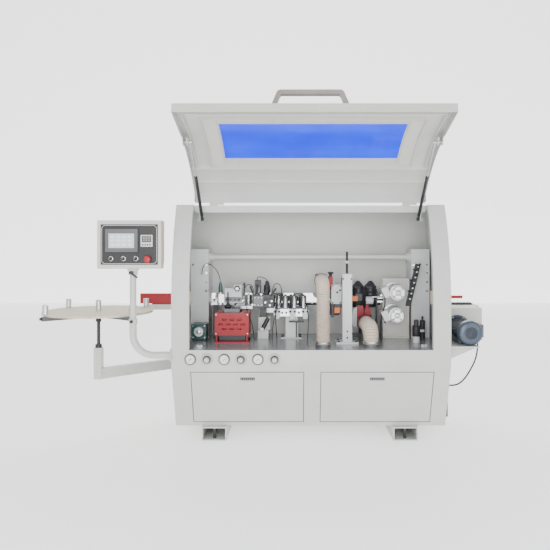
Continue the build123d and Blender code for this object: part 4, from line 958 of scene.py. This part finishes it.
for roller_name, roller_x, radius, look in (
    ("press_roller_large", -262, 32, "dark_metal"),
    ("press_roller_1", -192, 27.5, "grey_metal"),
    ("press_roller_2", -122, 27.5, "grey_metal"),
    ("press_roller_3", -45, 27.5, "grey_metal"),
):
    roller = Unit(f"{roller_name}_wheel", roller_name, [roller_name], 0.4)
    add_tube(roller[look], at(roller_x, 668, 784.4), Z, radius - 2, 8.1, 70)
    for band in (0.4, 20, 50, 63):
        add_tube(roller["steel"], at(roller_x, 668, 784.4 + band), Z, radius, radius - 3, 6, 36, 1.2)
    roller.done()


# ------------------------------------------------------------------ dust hoses
def ribbed_hose(name, x, y, radius, bend_z, end_y, bend, pitch=11.0):
    """A ribbed hose that rises from the deck and bends back: rings along a line and an arc."""
    mesh = bmesh.new()
    straight = bend_z - bend - 581
    arc = bend * pi / 2
    total = straight + arc + (end_y - y - bend)
    per_rib = 6
    steps = int(total / pitch) * per_rib
    segments = 40
    rings = []
    for step in range(steps + 1):
        travelled = total * step / steps
        if travelled < straight:
            centre, across = (x, y, 581 + travelled), Y
        elif travelled < straight + arc:
            turn = (travelled - straight) / bend
            centre = (x, y + bend * (1 - cos(turn)), bend_z - bend + bend * sin(turn))
            across = Y * cos(turn) - Z * sin(turn)
        else:
            centre, across = (x, y + bend + travelled - straight - arc, bend_z), -Z
        wave = 0.5 + 0.5 * cos(2 * pi * step / per_rib)
        ring_radius = (radius - 7.0 + 7.0 * wave**0.8) / 1000
        ring = []
        for segment in range(segments):
            angle = 2 * pi * segment / segments
            ring.append(mesh.verts.new(at(*centre) + (X * cos(angle) + across * sin(angle)) * ring_radius))
        rings.append(ring)
    for first, second in zip(rings, rings[1:]):
        for segment in range(segments):
            after = (segment + 1) % segments
            mesh.faces.new((first[segment], first[after], second[after], second[segment]))
    mesh.faces.new(rings[0][::-1])
    mesh.faces.new(rings[-1])
    bmesh.ops.recalc_face_normals(mesh, faces=mesh.faces)
    data = bpy.data.meshes.new(name)
    mesh.to_mesh(data)
    mesh.free()
    hose = bpy.data.objects.new(name, data)
    bpy.context.scene.collection.objects.link(hose)
    finish_piece(hose, "hose_plastic", "root")
    return hose


first_hose = ribbed_hose("dust_hose_tall", 78, 130, 43, 978, 372, 110, pitch=12.0)
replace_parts(first_hose, "dust_hoses")
ribbed_hose("dust_hose_short", 378, 150, 49, 690, 422, 90, pitch=13.0)
hoods = Unit("dust_hoods", "root", bevel=2.0)
add_box(hoods["grey_metal"], (43, 113), (372, 560), (943, 1013))
add_box(hoods["grey_metal"], (60, 96), (480, 540), (581, 943))
add_box(hoods["grey_metal"], (343, 413), (422, 560), (655, 725))
add_box(hoods["grey_metal"], (360, 396), (480, 540), (581, 655))
for hose_x, hose_y, radius in ((78, 130, 43), (378, 150, 49)):
    add_tube(hoods["grey_metal"], at(hose_x, hose_y, 581), Z, radius + 5, radius + 0.5, 16, 48)
    add_tube(hoods["steel"], at(hose_x, hose_y, 603), Z, radius + 2.4, radius, 11, 48)
    add_box(
        hoods["steel"], (hose_x - 9, hose_x + 9), (hose_y - radius - 9, hose_y - radius - 1), (603, 614)
    )
for hose_x, hose_z, end_y, radius in ((78, 978, 372, 43), (378, 690, 422, 49)):
    add_tube(hoods["steel"], at(hose_x, end_y - 26, hose_z), Y, radius + 2.4, radius, 11, 48)
    add_tube(hoods["dark_metal"], at(hose_x, end_y - 10, hose_z), Y, radius + 4, radius, 12, 48)
hoods.done()

# ------------------------------------------------------------------ trimming units
column_parts = Unit("trim_column_parts", "root", bevel=0.6)
for bolt_x in (184, 292):
    for bolt_y in (238, 326):
        add_bolt(column_parts["dark_metal"], at(bolt_x, bolt_y, 593), Z, 8, 6)
thread = [(0, 0), (0, 7.2)]
for turn_number in range(35):
    thread += [(4 * turn_number + 1, 7.2), (4 * turn_number + 2.4, 8.2), (4 * turn_number + 3.6, 7.2)]
thread += [(143, 7.2), (143, 0)]
add_turned(column_parts["dark_metal"], at(238, 270, 1027), Z, thread, 20)
add_turned(
    column_parts["black_plastic"], at(238, 270, 1095), Z,
    ((0, 7.5), (0, 14.5), (14, 14.5), (14, 7.5), (0, 7.5)), 6
)
for bolt_x, bolt_z in ((212, 995), (264, 995), (238, 660), (238, 620)):
    add_rod(column_parts["black_plastic"], at(bolt_x, 240.5, bolt_z), -Y, 6, 1.2, 20)
column_parts.done()

end_trim = Unit("end_trim", "end_trim_unit", ["end_trim_unit"], bevel=1.2)
add_box(end_trim["white_paint"], (140, 206), (300.6, 420), (830, 955))
add_box(end_trim["dark_metal"], (206, 268), (300.6, 330), (800, 1000))
hood_outline = [at(124, y, z) for y, z in ((322, 1005), (400, 1005), (400, 911), (322, 940))]
add_prism(end_trim["red_paint"], hood_outline, X * 0.027)
add_box(end_trim["dark_metal"], (126, 150), (324, 398), (860, 909))
add_box(end_trim["orange_plastic"], (160, 197), (300, 340), (770, 807))
add_box(end_trim["dark_metal"], (160, 206), (306, 360), (807, 830))
add_box(end_trim["dark_metal"], (142, 158), (318, 360), (740, 830))
add_rod(end_trim["dark_metal"], at(178, 300.6, 905), -Y, 7, 4, 20)
add_rod(end_trim["dark_metal"], at(196, 300.6, 918), -Y, 7, 4, 20)
add_turned(
    end_trim["grey_metal"], at(172, 420, 890), Y,
    ((0, 0), (0, 45), (180, 45), (186, 40), (200, 40), (200, 0)), 40
)
add_rod(end_trim["dark_metal"], at(138, 350, 1005), Z, 10, 14)
add_turned(
    end_trim["black_plastic"], at(138, 350, 1017.5), Z,
    ((0, 0), (0, 10), (4, 12), (7, 19), (11, 20.4), (16, 18), (19.4, 9), (19.4, 0)), 36
)
add_turned(
    end_trim["grey_metal"], at(172, 470, 740), Z,
    ((0, 0), (0, 34), (6, 38), (96, 38), (98, 34), (110, 34), (110, 0)), 40
)
add_fins(end_trim["grey_metal"], at(172, 470, 750), Y, Z, 20, 37.5, 5, 80, 1)
for bolt_x, bolt_z in ((148, 838), (198, 838), (148, 946), (198, 946)):
    add_bolt(end_trim["dark_metal"], at(bolt_x, 300.6, bolt_z), -Y, 5, 4)
add_rod(end_trim["steel"], at(172, 620, 890), Y, 6, 50)
for saw_side in (0, 1):
    profile = ((0, 6), (0, 62), (3, 62), (3, 6), (0, 6))
    add_turned(end_trim["steel"], at(172, 668, 890), Y, profile, 48)
end_trim.done()

fine = Unit("fine_trim", "root", ["fine_trim_unit"], bevel=1.2)
add_box(fine["grey_metal"], (300, 460), (590, 640), (581, 593))
add_box(fine["dark_metal"], (350, 410), (595, 635), (593, 800))
add_box(fine["grey_metal"], (318, 440), (585, 640), (800, 860))
for motor_x in (340, 425):
    add_turned(
        fine["dark_metal"], at(motor_x, 560, 785), Z,
        ((0, 0), (0, 38), (6, 42), (128, 42), (128, 38), (131, 38), (131, 0)), 40
    )
    add_turned(
        fine["black_plastic"], at(motor_x, 560, 916), Z,
        ((0, 0), (0, 42), (8, 42), (14, 38), (38, 20), (49, 8), (49, 0)), 6
    )
    add_fins(fine["dark_metal"], at(motor_x, 560, 796), Y, Z, 22, 41.2, 4.8, 112, 1.1)
    add_box(fine["dark_metal"], (motor_x - 24, motor_x + 24), (506, 520), (830, 880))
    add_rod(fine["steel"], at(motor_x, 660, 800), Z, 28, 30)
    add_box(fine["steel"], (motor_x - 10, motor_x + 10), (600, 660), (815, 825))
add_box(fine["orange_plastic"], (294, 332), (499, 540), (829, 865))
cone_plate = [at(x, 498, z) for x, z in ((374, 724), (427, 724), (420, 760), (404, 810), (386, 806))]
add_prism(fine["red_paint"], cone_plate, Y * 0.03)
for hood_bolt in ((384, 734), (418, 734), (402, 792)):
    add_bolt(fine["dark_metal"], at(hood_bolt[0], 498, hood_bolt[1]), -Y, 4.5, 4)
shield = ((293, 700), (296, 748), (306, 782), (327, 791), (327, 648), (306, 656), (296, 676))
add_prism(fine["white_paint"], [at(x, 505, z) for x, z in shield], Y * 0.012)
add_turned(
    fine["black_plastic"], at(422, 520, 872), -Y,
    ((0, 0), (0, 9), (10, 9), (13, 19), (22, 20), (26, 14), (26, 0)), 32
)
add_box(fine["red_paint"], (327, 372), (505, 516), (655, 800))
add_box(fine["dark_metal"], (372, 388), (516, 596), (700, 780))
add_turned(
    fine["white_paint"], at(384, 470, 838), X, ((0, 0), (0, 26), (44, 26), (50, 20), (50, 0)), 32
)
add_box(fine["white_paint"], (384, 434), (470, 520), (828, 848))
fine.done()

# ------------------------------------------------------------------ buffing unit
buffing = Unit("buffing", "root", ["buffing_unit"], bevel=1.2)
add_box(buffing["panel_paint"], (500, 680), (480, 600), (581, 593))
add_box(buffing["panel_paint"], (500, 680), (488, 500), (593, 985))
add_box(buffing["panel_paint"], (644, 680), (500, 580), (593, 985))
arm = [at(x, 462, z) for x, z in ((652, 800), (686, 800), (752, 1078), (720, 1086))]
add_prism(buffing["dark_metal"], arm, Y * 0.026)
for step, lean in enumerate((1, -1, 1, -1, 1, -1, 1)):
    step_x, step_z = 675 + step * 9.2, 850 + step * 36
    add_rod(buffing["black_plastic"], at(step_x, 462, step_z), -Y, 11, 20, 20)
    add_rod(buffing["aluminium"], at(step_x, 442, step_z), -Y, 5.5, 8, 14)
    add_rod(buffing["dark_metal"], at(step_x, 456, step_z + 6), (0.9 * lean, 0, 0.55), 5, 26, 14)
for wheel_x, wheel_z, box_low in ((571, 902, 872), (565, 755, 718)):
    add_turned(
        buffing["aluminium"], at(wheel_x, 488, wheel_z), -Y,
        (
            (0, 0), (0, 60), (12, 60), (14, 57), (14, 50), (180, 50), (182, 52.5), (194, 52.5),
            (196, 46), (206, 44), (206, 40), (201, 38), (201, 14), (204, 12), (204, 0)
        ),
        56
    )
    add_fins(buffing["aluminium"], at(wheel_x, 312, wheel_z), Z, Y, 30, 49.5, 4.5, 158, 1)
    for bolt in range(4):
        angle = pi / 4 + bolt * pi / 2
        place = at(wheel_x + 33 * cos(angle), 287, wheel_z + 33 * sin(angle))
        add_bolt(buffing["dark_metal"], place, -Y, 4.5, 3.5)
    for slot in range(5):
        slot_z = wheel_z - 16 + slot * 8
        add_box(
            buffing["grey_metal"], (wheel_x - 20, wheel_x + 20), (283.2, 287.4),
            (slot_z - 1.4, slot_z + 1.4)
        )
    tilt = Matrix.Rotation(radians(-24), 4, "Y")
    add_box(buffing["white_paint"], (478, 518), (306, 396), (box_low - 2, box_low + 68), tilt)
    add_box(buffing["white_paint"], (474, 514), (298, 308), (box_low + 2, box_low + 64), tilt)
    add_rod(buffing["dark_metal"], at(492, 330, box_low), -Z, 6, 16, 16)
add_turned(
    buffing["dark_metal"],
    at(755, 420, 581),
    Z,
    ((0, 0), (0, 18), (126, 18), (130, 14), (130, 5), (142, 5), (143, 8), (149, 9.5), (154, 7), (156, 0)),
    28,
)
add_rod(buffing["dark_metal"], at(455, 470, 640), Z, 7, 260, 20)
add_rod(buffing["dark_metal"], at(425, 470, 842), X, 8, 76, 20)
add_rod(buffing["steel"], at(420, 452, 862), X, 6, 100, 20)
add_rod(buffing["dark_metal"], at(455, 470, 581), Z, 12, 60, 24)
buffing.done()
for wheel_name, wheel_x, wheel_z in (("buff_wheel_upper", 571, 902), ("buff_wheel_lower", 565, 755)):
    wheel = Unit(f"{wheel_name}_mop", wheel_name, [wheel_name], 0)
    add_rod(wheel["steel"], at(wheel_x, 500, wheel_z), Y, 8, 160)
    profile = [(0, 9), (0, 30)]
    for layer in range(8):
        profile += [(layer * 4.2 + 0.4, 64), (layer * 4.2 + 2.1, 67.4), (layer * 4.2 + 3.8, 64)]
    profile += [(34, 30), (34, 9), (0, 9)]
    add_turned(wheel["cloth_wheel"], at(wheel_x, 645, wheel_z), Y, profile, 64)
    add_rod(wheel["steel"], at(wheel_x, 638, wheel_z), Y, 28, 7, 32)
    wheel.done()

# ------------------------------------------------------------------ services
service = Unit("services", "root", ["service_fittings"], bevel=0.8)
add_turned(
    service["dark_metal"], at(1052, 180, 637), -Z,
    ((0, 0), (0, 9), (6, 9), (7, 7), (12, 7), (17, 5.6), (18, 5.4), (18, 0)), 6
)
add_turned(
    service["dark_metal"], at(840, 130, 341), X,
    ((0, 0), (0, 9), (6, 9), (7, 7), (12, 7), (17, 5.6), (18, 5.4), (18, 0)), 6
)
add_box(service["black_plastic"], (840, 862), (170, 260), (135, 243))
add_box(service["black_plastic"], (860, 864), (180, 250), (180, 236))
add_rod(service["black_plastic"], at(862.5, 215, 158), X, 10, 1.5)
add_rod(service["aluminium"], at(-840, 140, 323), -X, 9, 8)
add_turned(
    service["dark_metal"], at(-848, 140, 323), -X, ((0, 0), (0, 7), (8, 7), (8, 3), (4, 3), (4, 0)), 20
)
add_turned(
    service["white_paint"], at(690, 300, 581), Z, ((0, 0), (0, 22), (38, 22), (40, 20), (40, 0)), 32
)
add_turned(
    service["black_plastic"], at(690, 300, 621), Z,
    ((0, 0), (0, 24), (4, 26), (64, 26), (70, 20), (70, 15), (100, 15), (106, 12), (108, 8), (108, 0)),
    32
)
add_rod(service["aluminium"], at(690, 300, 656), X, 9, 52)
service.done()

# ------------------------------------------------------------------ posts, clamps and end bars
clamps = Unit("post_clamps", "root", bevel=0.8)
add_tube(clamps["panel_paint"], at(-1071, 10, 741), Z, 25.4, 21.4, 26)
add_turned(
    clamps["dark_metal"], at(-1071, -16, 756), -Y,
    ((0, 0), (0, 7), (14, 7), (14, 10), (19, 10), (19, 0)), 20
)
clamps.done()
collar = Unit("panel_collar", "control_panel", bevel=0.6)
add_tube(collar["panel_paint"], at(-1071, 10, 1032), Z, 26.6, 19.7, 28)
collar.done()
latches = Unit("lid_catches", "root", bevel=1.0)
for side in (-1, 1):
    add_box(latches["cream_paint"], sorted((side * 733.8, side * 730.6)), (9, 77), (853, 932))
    for bolt_z in (868, 917):
        add_bolt(latches["steel"], at(side * 730.8, 30, bolt_z), -X * side, 5, 3)
latches.done()

# ------------------------------------------------------------------ air tubes
SENSOR_LEAD = (
    (-590, 400, 965), (-594, 396, 1010), (-640, 410, 1075), (-690, 440, 1090), (-722, 470, 1060),
    (-728, 497, 1010)
)
CUTTER_LEFT_TUBE = (
    (-370, 430, 893), (-374, 424, 930), (-402, 408, 956), (-430, 396, 930), (-434, 390, 870),
    (-416, 388, 790), (-384, 392, 700), (-372, 400, 640), (-366, 405, 582)
)
CUTTER_RIGHT_TUBE = (
    (-246, 430, 893), (-244, 424, 930), (-220, 408, 962), (-186, 400, 940), (-182, 394, 870),
    (-212, 394, 790), (-240, 402, 700), (-244, 405, 640), (-246, 408, 582)
)
CUTTER_LOOP = (
    (-262, 430, 893), (-262, 410, 950), (-285, 395, 985), (-318, 395, 1000), (-348, 410, 1000),
    (-350, 450, 976)
)
PRESS_LEFT_TUBE = (
    (-188, 504, 800), (-190, 480, 815), (-206, 455, 825), (-222, 432, 800), (-226, 426, 740),
    (-222, 425, 660), (-216, 425, 582)
)
PRESS_RIGHT_TUBE = (
    (-50, 504, 800), (-46, 480, 815), (-28, 452, 825), (-12, 432, 800), (-6, 426, 740), (-6, 425, 660),
    (-12, 425, 582)
)
BUFFING_LEAD = (
    (492, 330, 856), (492, 328, 820), (480, 322, 790), (466, 318, 740), (462, 318, 680), (464, 320, 582)
)
air_tube("sensor_lead", SENSOR_LEAD, 2.6)
air_tube("cutter_left_tube", CUTTER_LEFT_TUBE, 2.5)
air_tube("cutter_right_tube", CUTTER_RIGHT_TUBE, 2.5)
air_tube("cutter_loop", CUTTER_LOOP, 2.5)
air_tube("press_left_tube", PRESS_LEFT_TUBE, 3.0)
air_tube("press_right_tube", PRESS_RIGHT_TUBE, 3.0)
air_tube("buffing_lead", BUFFING_LEAD, 4.5)
